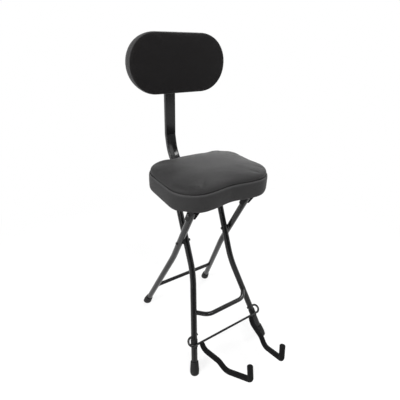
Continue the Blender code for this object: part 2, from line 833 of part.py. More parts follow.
def bracket_screw_places():
    """Screw seats under the top plates of both seat brackets."""
    places = []
    under_plate = UNDER_BOARD - BRACKET_SHEET
    for name, side in SIDES:
        for end, along in (("front", -1), ("rear", 1)):
            y = bracket_top_y() + along * BRACKET_SCREW_SPACING / 2
            places.append((f"bracket_screw_{name}_{end}", (side * REAR_HALF, y, under_plate)))
    return places


def catch_screw_places():
    top = front_point(TOP_TUBE_HEIGHT)
    y = top.y - CATCH_SADDLE_FRONT - CATCH_FLANGE / 2
    height = UNDER_BOARD - CATCH_FLANGE_THICKNESS
    return [("catch_screw_" + name, (side * CATCH_SPACING / 2, y, height)) for name, side in SIDES]


def receiver_screw_places():
    places = []
    x = RECEIVER_OUTER_HALF + RECEIVER_FLANGE / 2
    under_flange = UNDER_BOARD - RECEIVER_SHEET
    ends = (
        ("front", RECEIVER_FRONT_Y + RECEIVER_SCREW_INSET),
        ("rear", RECEIVER_REAR_Y - RECEIVER_SCREW_INSET),
    )
    for name, side in SIDES:
        for end, y in ends:
            places.append((f"receiver_screw_{name}_{end}", (side * x, y, under_flange)))
    return places


def screw_groups():
    """Every group of screws under the seat, with the thickness that each one passes through."""
    return (
        (bracket_screw_places(), BRACKET_SHEET),
        (catch_screw_places(), CATCH_FLANGE_THICKNESS),
        (receiver_screw_places(), RECEIVER_SHEET),
    )


def group_holes(places, thickness):
    return joined([screw_hole(origin, UP, thickness) for _, origin in places])


def add_seat_board():
    outline = inset(seat_outline(), SEAT_BOARD_INSET)
    place = Matrix.Translation((0, 0, SEAT_UNDER_HEIGHT))
    board = add_object("seat_board", prism(outline, place, 0, SEAT_BOARD_THICKNESS), "plywood", "seat")
    for places, thickness in screw_groups():
        cut_away(board, group_holes(places, thickness))


def add_seat_screws():
    for places, thickness in screw_groups():
        for name, origin in places:
            add_screw(name, origin, UP, thickness, "seat")


def bracket_shape(side):
    """A folded channel: a top plate under the board and two cheeks that narrow towards the leg."""
    inner = LEG_RADIUS + CHEEK_GAP
    outer = inner + BRACKET_SHEET
    top = UNDER_BOARD
    foot = SEAT_UNDER_HEIGHT - BRACKET_DROP
    outline = (
        (-outer, foot),
        (-outer, top),
        (outer, top),
        (outer, foot),
        (inner, foot),
        (inner, top - BRACKET_SHEET),
        (-inner, top - BRACKET_SHEET),
        (-inner, foot),
    )
    shape = bmesh.new()
    rings = []
    for along in (-0.5, 0.5):
        vertices = []
        for x, height in outline:
            at_foot = height == foot
            centre = rear_y(foot) if at_foot else bracket_top_y()
            width = BRACKET_FOOT_WIDTH if at_foot else BRACKET_TOP_WIDTH
            vertices.append(shape.verts.new((side * REAR_HALF + x, centre + along * width, height)))
        rings.append(vertices)
    skin(shape, rings)
    for vertices in rings:
        corners = vertices
        shape.faces.new((corners[0], corners[1], corners[6], corners[7]))
        shape.faces.new((corners[1], corners[2], corners[5], corners[6]))
        shape.faces.new((corners[2], corners[3], corners[4], corners[5]))
    return shape


def add_seat_brackets():
    hinge = rear_point(HINGE_HEIGHT)
    reach = LEG_RADIUS + CHEEK_GAP + BRACKET_SHEET
    for name, side in SIDES:
        bracket = add_object("seat_bracket_" + name, bracket_shape(side), "black_paint", "seat")
        cut_away(bracket, cross_drill(mirrored(hinge, side), PIN_RADIUS))
        own_screws = [place for place in bracket_screw_places() if name in place[0]]
        cut_away(bracket, group_holes(own_screws, BRACKET_SHEET))
        outward = Vector((side, 0, 0))
        centre = mirrored(hinge, side)
        pin = headed_pin(
            centre + outward * (reach + TOUCH_GAP),
            -outward,
            HINGE_PIN_HEAD_RADIUS,
            HINGE_PIN_HEAD_HEIGHT,
            PIN_RADIUS,
            2 * reach + TOUCH_GAP + HINGE_PIN_END,
            BAR_SIDES,
        )
        add_object("hinge_pin_" + name, pin, "zinc_steel", "seat")


def catch_outline():
    """Side view of a catch about the top tube's centre: a saddle on the tube and a lip behind it."""
    hold = LEG_RADIUS + TOUCH_GAP
    top = UNDER_BOARD - TOP_TUBE_HEIGHT
    front = -CATCH_SADDLE_FRONT - CATCH_FLANGE
    outline = [
        (front, top),
        (front, top - CATCH_FLANGE_THICKNESS),
        (-CATCH_SADDLE_FRONT, top - CATCH_FLANGE_THICKNESS),
        (-CATCH_SADDLE_FRONT, hold),
    ]
    for step in range(CATCH_STEPS + 1):
        turn = math.pi / 2 * (1 - step / CATCH_STEPS)
        outline.append((hold * math.cos(turn), hold * math.sin(turn)))
    outline += [
        (hold, -CATCH_LIP_DROP),
        (hold + CATCH_LIP, -CATCH_LIP_DROP),
        (hold + CATCH_LIP, top),
    ]
    return outline


def add_catches():
    top = front_point(TOP_TUBE_HEIGHT)
    # Local X runs back along Y, local Y up and local Z along X
    axes = Matrix(((0, 0, 1), (1, 0, 0), (0, 1, 0))).to_4x4()
    half = CATCH_WIDTH / 2
    screws = dict(catch_screw_places())
    for name, side in SIDES:
        origin = Vector((side * CATCH_SPACING / 2, top.y, top.z))
        shape = prism(catch_outline(), Matrix.Translation(origin) @ axes, -half, half)
        catch = add_object("seat_catch_" + name, shape, "black_plastic", "seat")
        cut_away(catch, screw_hole(screws["catch_screw_" + name], UP, CATCH_FLANGE_THICKNESS))


def hat_outline(inner, sheet, flange, web_near, flange_far):
    """A hat section across its length: web, two walls and two outward flanges."""
    outer = inner + sheet
    web_far = web_near + sheet
    flange_near = flange_far - sheet
    half = [
        (outer, web_near),
        (outer, flange_near),
        (outer + flange, flange_near),
        (outer + flange, flange_far),
        (inner, flange_far),
        (inner, web_far),
    ]
    return half + [(-x, y) for x, y in reversed(half)]


def hat_channel(place, outline, low, high):
    """A hat section drawn out along local Z, its ends filled as three strips and two corners."""
    shape = bmesh.new()
    rings = []
    for level in (low, high):
        rings.append(ring(shape, lambda x, y: place @ Vector((x, y, level)), outline))
    skin(shape, rings)
    for end in rings:
        shape.faces.new((end[0], end[5], end[6], end[11]))
        shape.faces.new((end[0], end[1], end[4], end[5]))
        shape.faces.new((end[1], end[2], end[3], end[4]))
        shape.faces.new((end[11], end[6], end[7], end[10]))
        shape.faces.new((end[10], end[7], end[8], end[9]))
    return shape


def add_receiver():
    """A channel under the board that the post slides in, with a nut for the clamp screw."""
    outline = hat_outline(
        RECEIVER_INNER_HALF, RECEIVER_SHEET, RECEIVER_FLANGE, RECEIVER_WEB_UNDER, UNDER_BOARD
    )
    # Local X stays, local Y is up and local Z runs forward
    place = Matrix.Rotation(math.pi / 2, 4, "X")
    shape = hat_channel(place, outline, -RECEIVER_REAR_Y, -RECEIVER_FRONT_Y)
    receiver = add_object("post_receiver", shape, "black_paint", "seat")
    cut_away(receiver, group_holes(receiver_screw_places(), RECEIVER_SHEET))
    centre = Vector((0, KNOB_Y, RECEIVER_WEB_UNDER))
    lift = UP * 2 * RECEIVER_SHEET
    cut_away(receiver, drill(centre - lift, centre + lift, BOLT_RADIUS + PIN_GAP))
    nut = nut_shape(centre + DOWN * TOUCH_GAP, DOWN, BOLT_RADIUS + PIN_GAP)
    add_object("clamp_nut", nut, "zinc_steel", "seat")


def add_knob():
    """A lobed hand knob on the screw that clamps the post."""
    under_nut = RECEIVER_WEB_UNDER - TOUCH_GAP - NUT_HEIGHT
    knob_top = under_nut - KNOB_STANDOFF
    knob_foot = knob_top - KNOB_HEIGHT
    count = KNOB_LOBES * KNOB_LOBE_STEPS
    turns = [2 * math.pi * index / count for index in range(count)]
    shape = bmesh.new()
    screw_foot = knob_top - KNOB_SCREW_DEPTH
    hole_radius = BOLT_RADIUS + TOUCH_GAP
    levels = (
        (KNOB_CHAMFER, knob_foot),
        (0.0, knob_foot + KNOB_CHAMFER),
        (0.0, knob_top - KNOB_CHAMFER),
        (KNOB_CHAMFER, knob_top),
    )
    rings = [[shape.verts.new((0, KNOB_Y, knob_foot))]]
    for chamfer, height in levels:
        vertices = []
        for turn in turns:
            radius = KNOB_RADIUS - KNOB_LOBE + KNOB_LOBE * math.cos(KNOB_LOBES * turn) - chamfer
            point = (radius * math.cos(turn), KNOB_Y + radius * math.sin(turn), height)
            vertices.append(shape.verts.new(point))
        rings.append(vertices)
    for height in (knob_top, screw_foot - TOUCH_GAP):
        hole = circle(hole_radius, count)
        rings.append(ring(shape, lambda x, y: (x, KNOB_Y + y, height), hole))
    rings.append([shape.verts.new((0, KNOB_Y, screw_foot - TOUCH_GAP))])
    skin(shape, rings)
    add_object("clamp_knob", shape, "black_plastic", "knob")
    screw_top = POST_RUN_HEIGHT - POST_DEPTH / 2 - TOUCH_GAP
    screw = drill(Vector((0, KNOB_Y, screw_foot)), Vector((0, KNOB_Y, screw_top)), BOLT_RADIUS)
    add_object("clamp_screw", screw, "zinc_steel", "knob")


# Backrest


def back_bolt_heights():
    half = BACK_BOLT_SPACING / 2
    return (("lower", BACK_CENTRE_HEIGHT - half), ("upper", BACK_CENTRE_HEIGHT + half))


def back_screw_places():
    """Screw seats on the rear of the back plate's flanges."""
    places = []
    x = BACK_PLATE_WEB / 2 + BACK_PLATE_FLANGE / 2
    for name, side in SIDES:
        for end, rise in (("lower", -1), ("upper", 1)):
            height = BACK_CENTRE_HEIGHT + rise * BACK_SCREW_SPACING / 2
            places.append((f"back_screw_{name}_{end}", (side * x, PLATE_FLANGE_REAR, height)))
    return places


def back_screw_holes():
    places = back_screw_places()
    return joined([screw_hole(origin, FORWARD, BACK_PLATE_SHEET) for _, origin in places])


def back_bolt_holes():
    """Holes for the two bolts, right through the post and the plate's web."""
    holes = []
    for _, height in back_bolt_heights():
        start = Vector((0, POST_BACK_Y + POST_DEPTH, height))
        end = Vector((0, PLATE_WEB_FRONT - BACK_PLATE_SHEET, height))
        holes.append(drill(start, end, BOLT_RADIUS + PIN_GAP))
    return joined(holes)


def post_path():
    """From the top down behind the pad, round the press-bent corner and forward under the seat."""
    corners = [
        Vector((0, POST_Y, POST_TOP_HEIGHT)),
        Vector((0, POST_Y, POST_RUN_HEIGHT)),
        Vector((0, POST_FRONT_END_Y, POST_RUN_HEIGHT)),
    ]
    return bent_path(corners, (POST_BEND_RADIUS,))


def add_post():
    section = rounded_rectangle(POST_WIDTH, POST_DEPTH, POST_CORNER)
    narrow = 2 * POST_WALL
    bore = rounded_rectangle(POST_WIDTH - narrow, POST_DEPTH - narrow, POST_CORNER - POST_WALL)
    post = add_object("back_post", swept_tube(post_path(), section, bore), "black_paint", "backrest")
    cut_away(post, back_bolt_holes())
    ends = (
        ("post_plug_top", Vector((0, POST_Y, POST_TOP_HEIGHT)), UP),
        ("post_plug_front", Vector((0, POST_FRONT_END_Y, POST_RUN_HEIGHT)), FORWARD),
    )
    for name, end, outward in ends:
        add_object(name, plug_shape(end, outward, section), "black_plastic", "backrest")


def plug_shape(end, outward, section):
    """A moulded end plug: a flange on the tube's end and a block inside its bore."""
    narrow = 2 * (POST_WALL + TOUCH_GAP)
    block = rounded_rectangle(POST_WIDTH - narrow, POST_DEPTH - narrow, POST_CORNER - POST_WALL)
    rise = outward.cross(ACROSS)
    flange_end = TOUCH_GAP + PLUG_FLANGE
    levels = ((block, -PLUG_DEPTH), (block, TOUCH_GAP), (section, TOUCH_GAP), (section, flange_end))
    shape = bmesh.new()
    rings = []
    for outline, level in levels:
        centre = end + outward * level
        rings.append(ring(shape, lambda x, y: centre + ACROSS * x + rise * y, outline))
    skin(shape, rings)
    shape.faces.new(rings[0])
    shape.faces.new(rings[-1])
    return shape


def add_back_plate():
    """A pressed hat plate between the pad's board and the post."""
    inner = BACK_PLATE_WEB / 2 - BACK_PLATE_SHEET
    flange_far = -PLATE_FLANGE_FRONT
    web_near = -PLATE_WEB_REAR
    outline = hat_outline(inner, BACK_PLATE_SHEET, BACK_PLATE_FLANGE, web_near, flange_far)
    # Local X is reversed, local Y points forward and local Z is up
    place = Matrix.Rotation(math.pi, 4, "Z")
    half = BACK_PLATE_HEIGHT / 2
    shape = hat_channel(place, outline, BACK_CENTRE_HEIGHT - half, BACK_CENTRE_HEIGHT + half)
    plate = add_object("back_plate", shape, "black_paint", "backrest")
    cut_away(plate, back_bolt_holes())
    cut_away(plate, back_screw_holes())


def add_back_fasteners():
    for name, height in back_bolt_heights():
        head = Vector((0, POST_BACK_Y + TOUCH_GAP, height))
        length = head.y - PLATE_WEB_FRONT + BOLT_END
        add_object("back_bolt_" + name, bolt_shape(head, FORWARD, length), "zinc_steel", "backrest")
    for name, origin in back_screw_places():
        add_screw(name, origin, FORWARD, BACK_PLATE_SHEET, "backrest")


def add_back_board():
    outline = inset(back_outline(), BACK_BOARD_INSET)
    origin = (0, BACK_REAR_Y, BACK_CENTRE_HEIGHT)
    place = Matrix.Translation(origin) @ Matrix.Rotation(math.pi / 2, 4, "X")
    board = add_object("back_board", prism(outline, place, 0, BACK_BOARD_THICKNESS), "plywood", "backrest")
    cut_away(board, back_screw_holes())


# Guitar cradle


def add_cradle_rod():
    """One wire: from a hole in each front leg it loops outward and runs across in front of the legs."""
    pivot = front_point(CRADLE_PIVOT_HEIGHT)
    rod_y, rod_height = rod_line()
    loop_radius = math.hypot(rod_y - pivot.y, rod_height - pivot.z) / 2
    out = pivot.x + ROD_STUB + loop_radius
    half = [
        Vector((pivot.x - ROD_INNER_END, pivot.y, pivot.z)),
        Vector((out, pivot.y, pivot.z)),
        Vector((out, rod_y, rod_height)),
    ]
    corners = half + [mirrored(point, -1) for point in reversed(half)]
    # Two quarter bends of the same radius make each half-round loop
    path = bent_path(corners, [loop_radius] * (len(corners) - 2))
    section = circle(ROD_RADIUS, ROD_SIDES)
    add_object("cradle_rod", swept_solid(path, section, BACKWARD), "black_paint", "cradle")


def hook_path(side):
    """Centre line of one hook, from the middle of the cross rod to its tip."""
    rod_y, rod_height = rod_line()
    start = Vector((side * HOOK_SPACING / 2, rod_y, rod_height))
    along = Vector((-side * math.sin(HOOK_TOE_IN), -math.cos(HOOK_TOE_IN), 0))
    places = [(0.0, 0.0)] + [corner[:2] for corner in HOOK_CORNERS] + [HOOK_TIP]
    corners = [start + along * forward + UP * rise for forward, rise in places]
    return bent_path(corners, [corner[2] for corner in HOOK_CORNERS]), along


def trimmed(path, start, end):
    """The path without its first and last stretches; both lie on straight runs."""
    first = (path[1] - path[0]).normalized() * start
    last = (path[-2] - path[-1]).normalized() * end
    return [path[0] + first, *path[1:-1], path[-1] + last]


def foam_shape(path, core_path, across):
    """A foam sleeve with a round closed tip, hollow for the hook's steel core."""
    shape = bmesh.new()
    outside = sweep_rings(shape, path, circle(FOAM_RADIUS, FOAM_SIDES), across)
    tip = (path[-1] - path[-2]).normalized()
    side = path_frames(path, across)[-1][1]
    rise = tip.cross(side)
    for share in FOAM_TIP_SHARES:
        centre = path[-1] + tip * HOOK_FOAM_END * share
        section = circle(FOAM_RADIUS * math.sqrt(1 - share * share), FOAM_SIDES)
        outside.append(ring(shape, lambda x, y: centre + side * x + rise * y, section))
    outside.append([shape.verts.new(path[-1] + tip * HOOK_FOAM_END)])
    bore_path = [path[0], *core_path[1:-1], core_path[-1] + tip * TOUCH_GAP]
    inside = sweep_rings(shape, bore_path, circle(ROD_RADIUS + TOUCH_GAP, FOAM_SIDES), across)
    inside.append([shape.verts.new(bore_path[-1])])
    skin(shape, [*reversed(outside), *inside])
    return shape


def add_hooks():
    for name, side in SIDES:
        path, along = hook_path(side)
        across = along.cross(UP)
        core_path = trimmed(path, ROD_RADIUS + TOUCH_GAP, HOOK_FOAM_END)
        core = swept_solid(core_path, circle(ROD_RADIUS, FOAM_SIDES), across)
        add_object("hook_core_" + name, core, "black_paint", "cradle")
        foam_path = trimmed(path, HOOK_FOAM_START, HOOK_FOAM_END)
        foam = foam_shape(foam_path, core_path, across)
        add_object("hook_foam_" + name, foam, "hook_foam", "cradle")


def add_rest_sleeves():
    """Thin rubber sleeves on the front legs, where the cradle's rod comes to rest."""
    _, rod_height = rod_line()
    stand_off = REST_SLEEVE_RADIUS + TOUCH_GAP + ROD_RADIUS
    touch_height = rod_height - stand_off * math.sin(FRONT_LEAN)
    centre = front_point(touch_height)
    along = (front_point(0.0) - centre).normalized()
    inner = LEG_RADIUS + TOUCH_GAP
    half = REST_SLEEVE_LENGTH / 2
    outer = REST_SLEEVE_RADIUS
    profile = ((inner, -half), (outer, -half), (outer, half), (inner, half))
    for name, side in SIDES:
        direction = mirrored(along, side)
        sleeve = turned(profile, LEG_SIDES, aimed(mirrored(centre, side), direction))
        add_object("rest_sleeve_" + name, sleeve, "black_rubber", "front_frame")


def main():
    clear_scene()
    make_finishes()
    make_bodies()
    add_rear_legs()
    add_rear_bar()
    add_feet("rear", rear_point, "rear_frame")
    add_crossing_bolts()
    add_front_legs()
    add_top_tube()
    add_footrest()
    add_feet("front", front_point, "front_frame")
    add_rest_sleeves()
    add_seat_board()
    add_seat_cushion()
    add_seat_brackets()
    add_catches()
    add_receiver()
    add_seat_screws()
    add_knob()
    add_post()
    add_back_plate()
    add_back_board()
    add_back_cushion()
    add_back_fasteners()
    add_cradle_rod()
    add_hooks()


main()
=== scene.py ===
"""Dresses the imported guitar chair: smooth tubes, a padded seat and backrest, foam hooks, rubber feet
and small fittings, with procedural finishes, a pale floor and soft light."""

import contextlib
import json
import math

import bmesh
import bpy
from mathutils import Matrix, Vector


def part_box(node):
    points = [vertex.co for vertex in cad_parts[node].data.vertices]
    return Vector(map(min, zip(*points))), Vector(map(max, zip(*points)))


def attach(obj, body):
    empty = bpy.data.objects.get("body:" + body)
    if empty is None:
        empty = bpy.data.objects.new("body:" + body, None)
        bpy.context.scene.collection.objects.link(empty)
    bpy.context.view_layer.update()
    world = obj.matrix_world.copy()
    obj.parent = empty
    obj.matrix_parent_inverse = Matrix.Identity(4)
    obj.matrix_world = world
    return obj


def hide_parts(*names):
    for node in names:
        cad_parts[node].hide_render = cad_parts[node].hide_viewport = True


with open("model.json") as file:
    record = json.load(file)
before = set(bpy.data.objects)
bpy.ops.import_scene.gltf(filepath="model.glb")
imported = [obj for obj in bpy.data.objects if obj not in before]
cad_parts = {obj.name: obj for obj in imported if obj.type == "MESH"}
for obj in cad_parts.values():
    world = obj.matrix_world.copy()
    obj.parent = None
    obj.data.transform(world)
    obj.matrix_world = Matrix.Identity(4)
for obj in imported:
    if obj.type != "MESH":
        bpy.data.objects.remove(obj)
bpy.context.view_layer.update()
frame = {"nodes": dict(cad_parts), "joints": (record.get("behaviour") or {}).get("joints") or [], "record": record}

bl_info = {
    "name": "Guitar Chair Dressing",
    "version": (1, 0, 0),
    "blender": (4, 5, 0),
    "location": "View3D > Sidebar > Guitar Chair",
    "description": "Models the guitar chair's visible pieces over its packed frame",
    "category": "Object",
}

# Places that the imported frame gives

PIVOTS = {joint["name"]: Vector(joint["pos_m"]) for joint in frame["joints"] if "pos_m" in joint}
STANDS = {mount["name"]: Vector(mount["pos_m"]) for mount in frame["record"]["mounts"]}
SLOTS = {part["node"]: part["material_slot"] for part in frame["record"]["subparts"]}
CROSSING = PIVOTS["leg_fold"]
SEAT_HINGE = PIVOTS["seat_fold"]
CRADLE_PIVOT = PIVOTS["cradle_fold"]
REAR_STAND = STANDS["floor_rear_left"]
FRONT_STAND = STANDS["floor_front_left"]
REAR_SLOPE = (CROSSING.y - REAR_STAND.y) / CROSSING.z
FRONT_SLOPE = (CROSSING.y - FRONT_STAND.y) / CROSSING.z

SIDES = (("left", 1), ("right", -1))
ACROSS = Vector((1, 0, 0))
UP = Vector((0, 0, 1))
DOWN = Vector((0, 0, -1))
FORWARD = Vector((0, -1, 0))
NEAR = 1e-5  # metres within which two places count as the same
DOUBLE = 1e-6  # metres within which vertices are merged
CAP_CORNERS = 8  # a face with more corners than this closes an end
TURN_STEPS = 40
FASTENER_STEPS = 32
WELD_STEPS = 36
WHITE = (1.0, 1.0, 1.0, 1.0)


# Sizes and colours that a user may change


def length(name, description, default):
    """A size in metres."""
    return bpy.props.FloatProperty(
        name=name, description=description, default=default, min=0.0, precision=4, unit="LENGTH"
    )


def angle(name, description, degrees):
    return bpy.props.FloatProperty(
        name=name, description=description, default=math.radians(degrees), subtype="ANGLE"
    )


def factor(name, description, default):
    return bpy.props.FloatProperty(name=name, description=description, default=default, min=0.0, max=1.0)


def power(name, description, default):
    """A light's power in watts."""
    return bpy.props.FloatProperty(
        name=name, description=description, default=default, min=0.0, unit="POWER"
    )


def colour(name, description, default):
    return bpy.props.FloatVectorProperty(
        name=name, description=description, default=default, size=3, min=0.0, max=1.0, subtype="COLOR"
    )


class ChairFrameSizes(bpy.types.PropertyGroup):
    """Sizes of the legs, bars, feet and bolts."""

    leg_diameter: length("Leg tube", "Outside diameter of the leg tubes", 0.0222)
    leg_bend: length("Leg bend", "Radius of the bend in each leg", 0.40)
    leg_end: length("Leg end", "Height of the tubes' ends inside the feet", 0.014)
    rear_half: length("Rear legs", "Half the distance between the upper rear legs", 0.11025)
    front_half: length("Front legs", "Half the distance between the upper front legs", 0.08425)
    rear_bend_height: length("Rear bend height", "Where the rear legs begin to splay", 0.336)
    front_bend_height: length("Front bend height", "Where the front legs begin to splay", 0.3155)
    hinge_overrun: length("Hinge end", "Length of the rear legs above the seat's hinge", 0.014)
    top_tube_height: length("Top tube height", "Middle of the tube under the seat", 0.586)
    rear_bar_diameter: length("Rear bar", "Diameter of the bar between the rear legs", 0.015)
    rear_bar_height: length("Rear bar height", "Middle of that bar above the floor", 0.131)
    footrest_diameter: length("Footrest", "Diameter of the footrest bar", 0.016)
    footrest_height: length("Footrest height", "Where the footrest meets the legs", 0.192)
    footrest_rise: length("Footrest rise", "Height of its straight run above its ends", 0.003)
    footrest_reach: length("Footrest reach", "How far it comes forward of the legs", 0.0404)
    footrest_span: length("Footrest span", "Distance between its two corners", 0.154)
    footrest_bend: length("Footrest bend", "Radius of its corners", 0.045)
    weld_radius: length("Weld", "Thickness of the weld beads", 0.0014)
    foot_radius: length("Foot", "Widest radius of the rubber feet", 0.0164)
    foot_rim: length("Foot rim", "Radius of a foot's upper rim", 0.0139)
    foot_toe: length("Foot toe", "Radius of a foot's toe", 0.0152)
    foot_height: length("Foot height", "Length of a foot along the leg", 0.040)
    foot_widest: length("Foot widest", "Where a foot is widest, along the leg", 0.010)
    foot_depth: length("Foot depth", "Length of the toe past the floor point", 0.012)
    sleeve_radius: length("Sleeve", "Radius of the rubber sleeves under the cradle rod", 0.0125)
    sleeve_length: length("Sleeve length", "Length of those sleeves", 0.028)
    bolt_diameter: length("Bolt", "Diameter of the bolts", 0.008)
    bolt_head: length("Bolt head", "Radius of the bolts' round heads", 0.0055)
    bolt_head_height: length("Bolt head height", "Height of those heads", 0.0036)
    bolt_head_room: length("Bolt head room", "Height that the CAD keeps for those heads", 0.0062)
    nut_share: factor("Crossing nut", "Width of the crossing nuts as a part of their CAD width", 0.72)
    screw_head: length("Screw head", "Radius of the wood screws' heads", 0.004)
    screw_head_height: length("Screw head height", "Height of those heads", 0.0025)


class ChairPadSizes(bpy.types.PropertyGroup):
    """Sizes of the padded seat and backrest."""

    seat_waist: length("Seat waist", "Depth of the hollow in the seat's front edge", 0.0097)
    seat_rear_corner: length("Seat rear corner", "Radius of the rear corners", 0.085)
    seat_front_corner: length("Seat front corner", "Radius of the front corners", 0.083)
    seat_lip: length("Seat lip", "How far the front edge of the cover hangs below the board", 0.0040)
    seat_proud: length("Seat proud", "How far the seat's cover stands out past its CAD space", 0.0035)
    seat_crown: length("Seat crown", "How far the seat's middle stands above its CAD space", 0.0025)
    seat_side: length("Seat side", "Height of the seat's side up to its seam", 0.0550)
    back_crown: length("Backrest crown", "How far the middle of the backrest swells", 0.0035)
    back_roll: length("Backrest roll", "Radius of the rolled front edge", 0.008)
    back_seam_drop: length("Backrest seam", "Depth of the seam behind the front edge", 0.009)
    back_joint: length("Backrest joint", "Sideways place of the short seam across the top", 0.004)
    seam_depth: length("Seam depth", "How far a seam pulls in", 0.0034)
    seam_reach: length("Seam reach", "How far the puckers spread on each side", 0.0090)
    seam_pucker: length("Seam pucker", "Height of the small puckers beside a seam", 0.00012)
    swell_room: length("Room to swell", "How much smaller the pads are before they are filled", 0.0002)
    swell_limit: length("Swell limit", "How far a point of a pad may move as it is filled", 0.003)


class ChairPostSizes(bpy.types.PropertyGroup):
    """Sizes of the backrest's post and of the brackets and knob under the seat."""

    post_width: length("Post width", "Width of the flat post", 0.0394)
    post_depth: length("Post depth", "Thickness of the flat post", 0.016)
    post_corner: length("Post corner", "Radius of the post's long edges", 0.0024)
    post_bend: length("Post bend", "Radius of the bend behind the seat", 0.12)
    post_kink: angle("Post kink", "How far the post leans where its bend begins", 14.0)
    post_kink_bend: length("Post kink bend", "Radius of that kink", 0.02)
    post_lean_run: length("Post lean", "Length of the leaning run below the kink", 0.030)
    post_dent: length("Post dent", "Depth of the press mark inside the bend", 0.0032)
    bracket_sheet: length("Bracket sheet", "Thickness of the hinge brackets", 0.0015)
    bracket_foot: length("Bracket foot", "Width of a bracket's lower end", 0.021)
    knob_lobe: length("Knob lobe", "Height of the knob's lobes", 0.002)
    knob_edge: length("Knob edge", "Rounding of the knob's edges", 0.0022)


class ChairCradleSizes(bpy.types.PropertyGroup):
    """Sizes of the fold-up guitar cradle."""

    rod_diameter: length("Rod", "Diameter of the cradle's wire", 0.008)
    rod_drop: length("Rod drop", "Height of the pivots above the cross rod", 0.016)
    rod_stub: length("Rod stub", "Length of wire beside each leg before its loop", 0.0145)
    rod_inner: length("Rod inner end", "Length of wire inside each leg", 0.0145)
    rest_gap: length("Rest gap", "Gap between the rod and its sleeves", 0.0003)
    hook_spacing: length("Hook spacing", "Distance between the hooks at the rod", 0.2312)
    hook_toe_in: angle("Hook toe-in", "How far the hooks turn towards each other", 12.9)
    foam_diameter: length("Foam", "Diameter of the foam sleeves", 0.0190)
    foam_start: length("Foam start", "Bare wire between the rod and the foam", 0.0045)


class ChairFinishes(bpy.types.PropertyGroup):
    """Colours of the finishes."""

    black_paint: colour("Paint", "Gloss paint on the tubes", (0.0038, 0.0038, 0.0042))
    zinc_steel: colour("Zinc", "Plated bolts and screws", (0.10, 0.10, 0.104))
    bracket_paint: colour("Bracket paint", "Satin paint on the hinge brackets", (0.0036, 0.0036, 0.0040))
    black_rubber: colour("Rubber", "Feet and sleeves", (0.0050, 0.0050, 0.0053))
    black_plastic: colour("Plastic", "Knob, catches, plugs and spacers", (0.012, 0.012, 0.0125))
    seat_leatherette: colour("Leatherette", "Seat cover and the backrest's side", (0.034, 0.0335, 0.034))
    back_fabric: colour("Fabric", "Front of the backrest", (0.0060, 0.0054, 0.0056))
    hook_foam: colour("Foam", "Sleeves on the cradle's hooks", (0.0046, 0.0046, 0.0049))
    plywood: colour("Plywood", "Stained boards under the pads", (0.020, 0.0182, 0.0170))


class ChairStage(bpy.types.PropertyGroup):
    """Floor, light and camera."""

    floor_size: length("Floor", "Width of the floor", 80.0)
    shadow_reach: length("Shadow reach", "Distance from the chair at which the floor is plain white", 1.5)
    floor_glow: factor("Floor glow", "How much of the floor near the chair is plain white", 0.7)
    key_power: power("Key light", "Power of the large light on the left", 52.0)
    high_power: power("High light", "Power of the small light high on the right", 15.0)
    front_power: power("Front light", "Power of the wide light high in front", 26.0)
    strip_power: power("Strip light", "Power of the upright strip in front on the left", 9.0)
    fill_power: power("Fill light", "Power of the large light in front on the right", 12.0)
    rear_power: power("Rear light", "Power of the large light behind on the right", 14.0)
    sky: factor("Sky", "Strength of the even light from all sides", 0.62)
    front_shade: factor("Front shade", "How much darker the studio is behind the camera", 0.93)
    lens: bpy.props.FloatProperty(
        name="Lens", description="Focal length in millimetres on a 36 mm sensor", default=28.8, min=1.0
    )


# Modelling helpers


def leave_edit():
    bpy.ops.object.mode_set(mode="OBJECT")


def start_fresh():
    """Leaves edit mode with nothing selected, so that an operator acts on the new piece alone."""
    if bpy.context.mode != "OBJECT":
        leave_edit()
    bpy.ops.object.select_all(action="DESELECT")


def take(piece):
    """Makes one piece the selected and active one."""
    start_fresh()
    piece.select_set(True)
    bpy.context.view_layer.objects.active = piece
    return piece


def added(operator, **settings):
    """Runs an operator that adds an object, with nothing selected, and returns the object."""
    start_fresh()
    operator(**settings)
    return bpy.context.object


def pick_all():
    bpy.ops.mesh.select_all(action="SELECT")


def edit(piece):
    """Opens a piece for editing with all its vertices selected."""
    take(piece)
    bpy.ops.object.mode_set(mode="EDIT")
    bpy.context.tool_settings.mesh_select_mode = (True, False, False)
    pick_all()


@contextlib.contextmanager
def open_shape():
    """In edit mode, hands out the mesh and afterwards shows what was done to it."""
    data = bpy.context.object.data
    yield bmesh.from_edit_mesh(data)
    bmesh.update_edit_mesh(data)


def pick(kind, test):
    """In edit mode, selects only the vertices, edges or faces that pass a test."""
    modes = ("VERT", "EDGE", "FACE")
    bpy.context.tool_settings.mesh_select_mode = tuple(kind == mode for mode in modes)
    bpy.ops.mesh.select_all(action="DESELECT")
    with open_shape() as shape:
        for item in (shape.verts, shape.edges, shape.faces)[modes.index(kind)]:
            if test(item):
                item.select_set(True)
        shape.select_flush_mode()


def extrude(move):
    bpy.ops.mesh.extrude_region_move(TRANSFORM_OT_translate={"value": move})


def extrude_edges(move):
    bpy.ops.mesh.extrude_edges_move(TRANSFORM_OT_translate={"value": move})


def bevel_edges(offset, segments):
    bpy.ops.mesh.bevel(offset=offset, segments=segments, affect="EDGES")


def bevel_points(offset, segments):
    """Rounds the selected corners of flat faces."""
    bpy.ops.mesh.bevel(offset=offset, offset_type="OFFSET", segments=segments, affect="VERTICES")


def turn_outward():
    """In edit mode, turns all faces outward."""
    pick_all()
    bpy.ops.mesh.normals_make_consistent(inside=False)


def same(first, second):
    """Whether two sizes are equal but for rounding."""
    return abs(first - second) < NEAR


def middle(item):
    """Middle of an edge or face."""
    return sum((vertex.co for vertex in item.verts), Vector()) / len(item.verts)


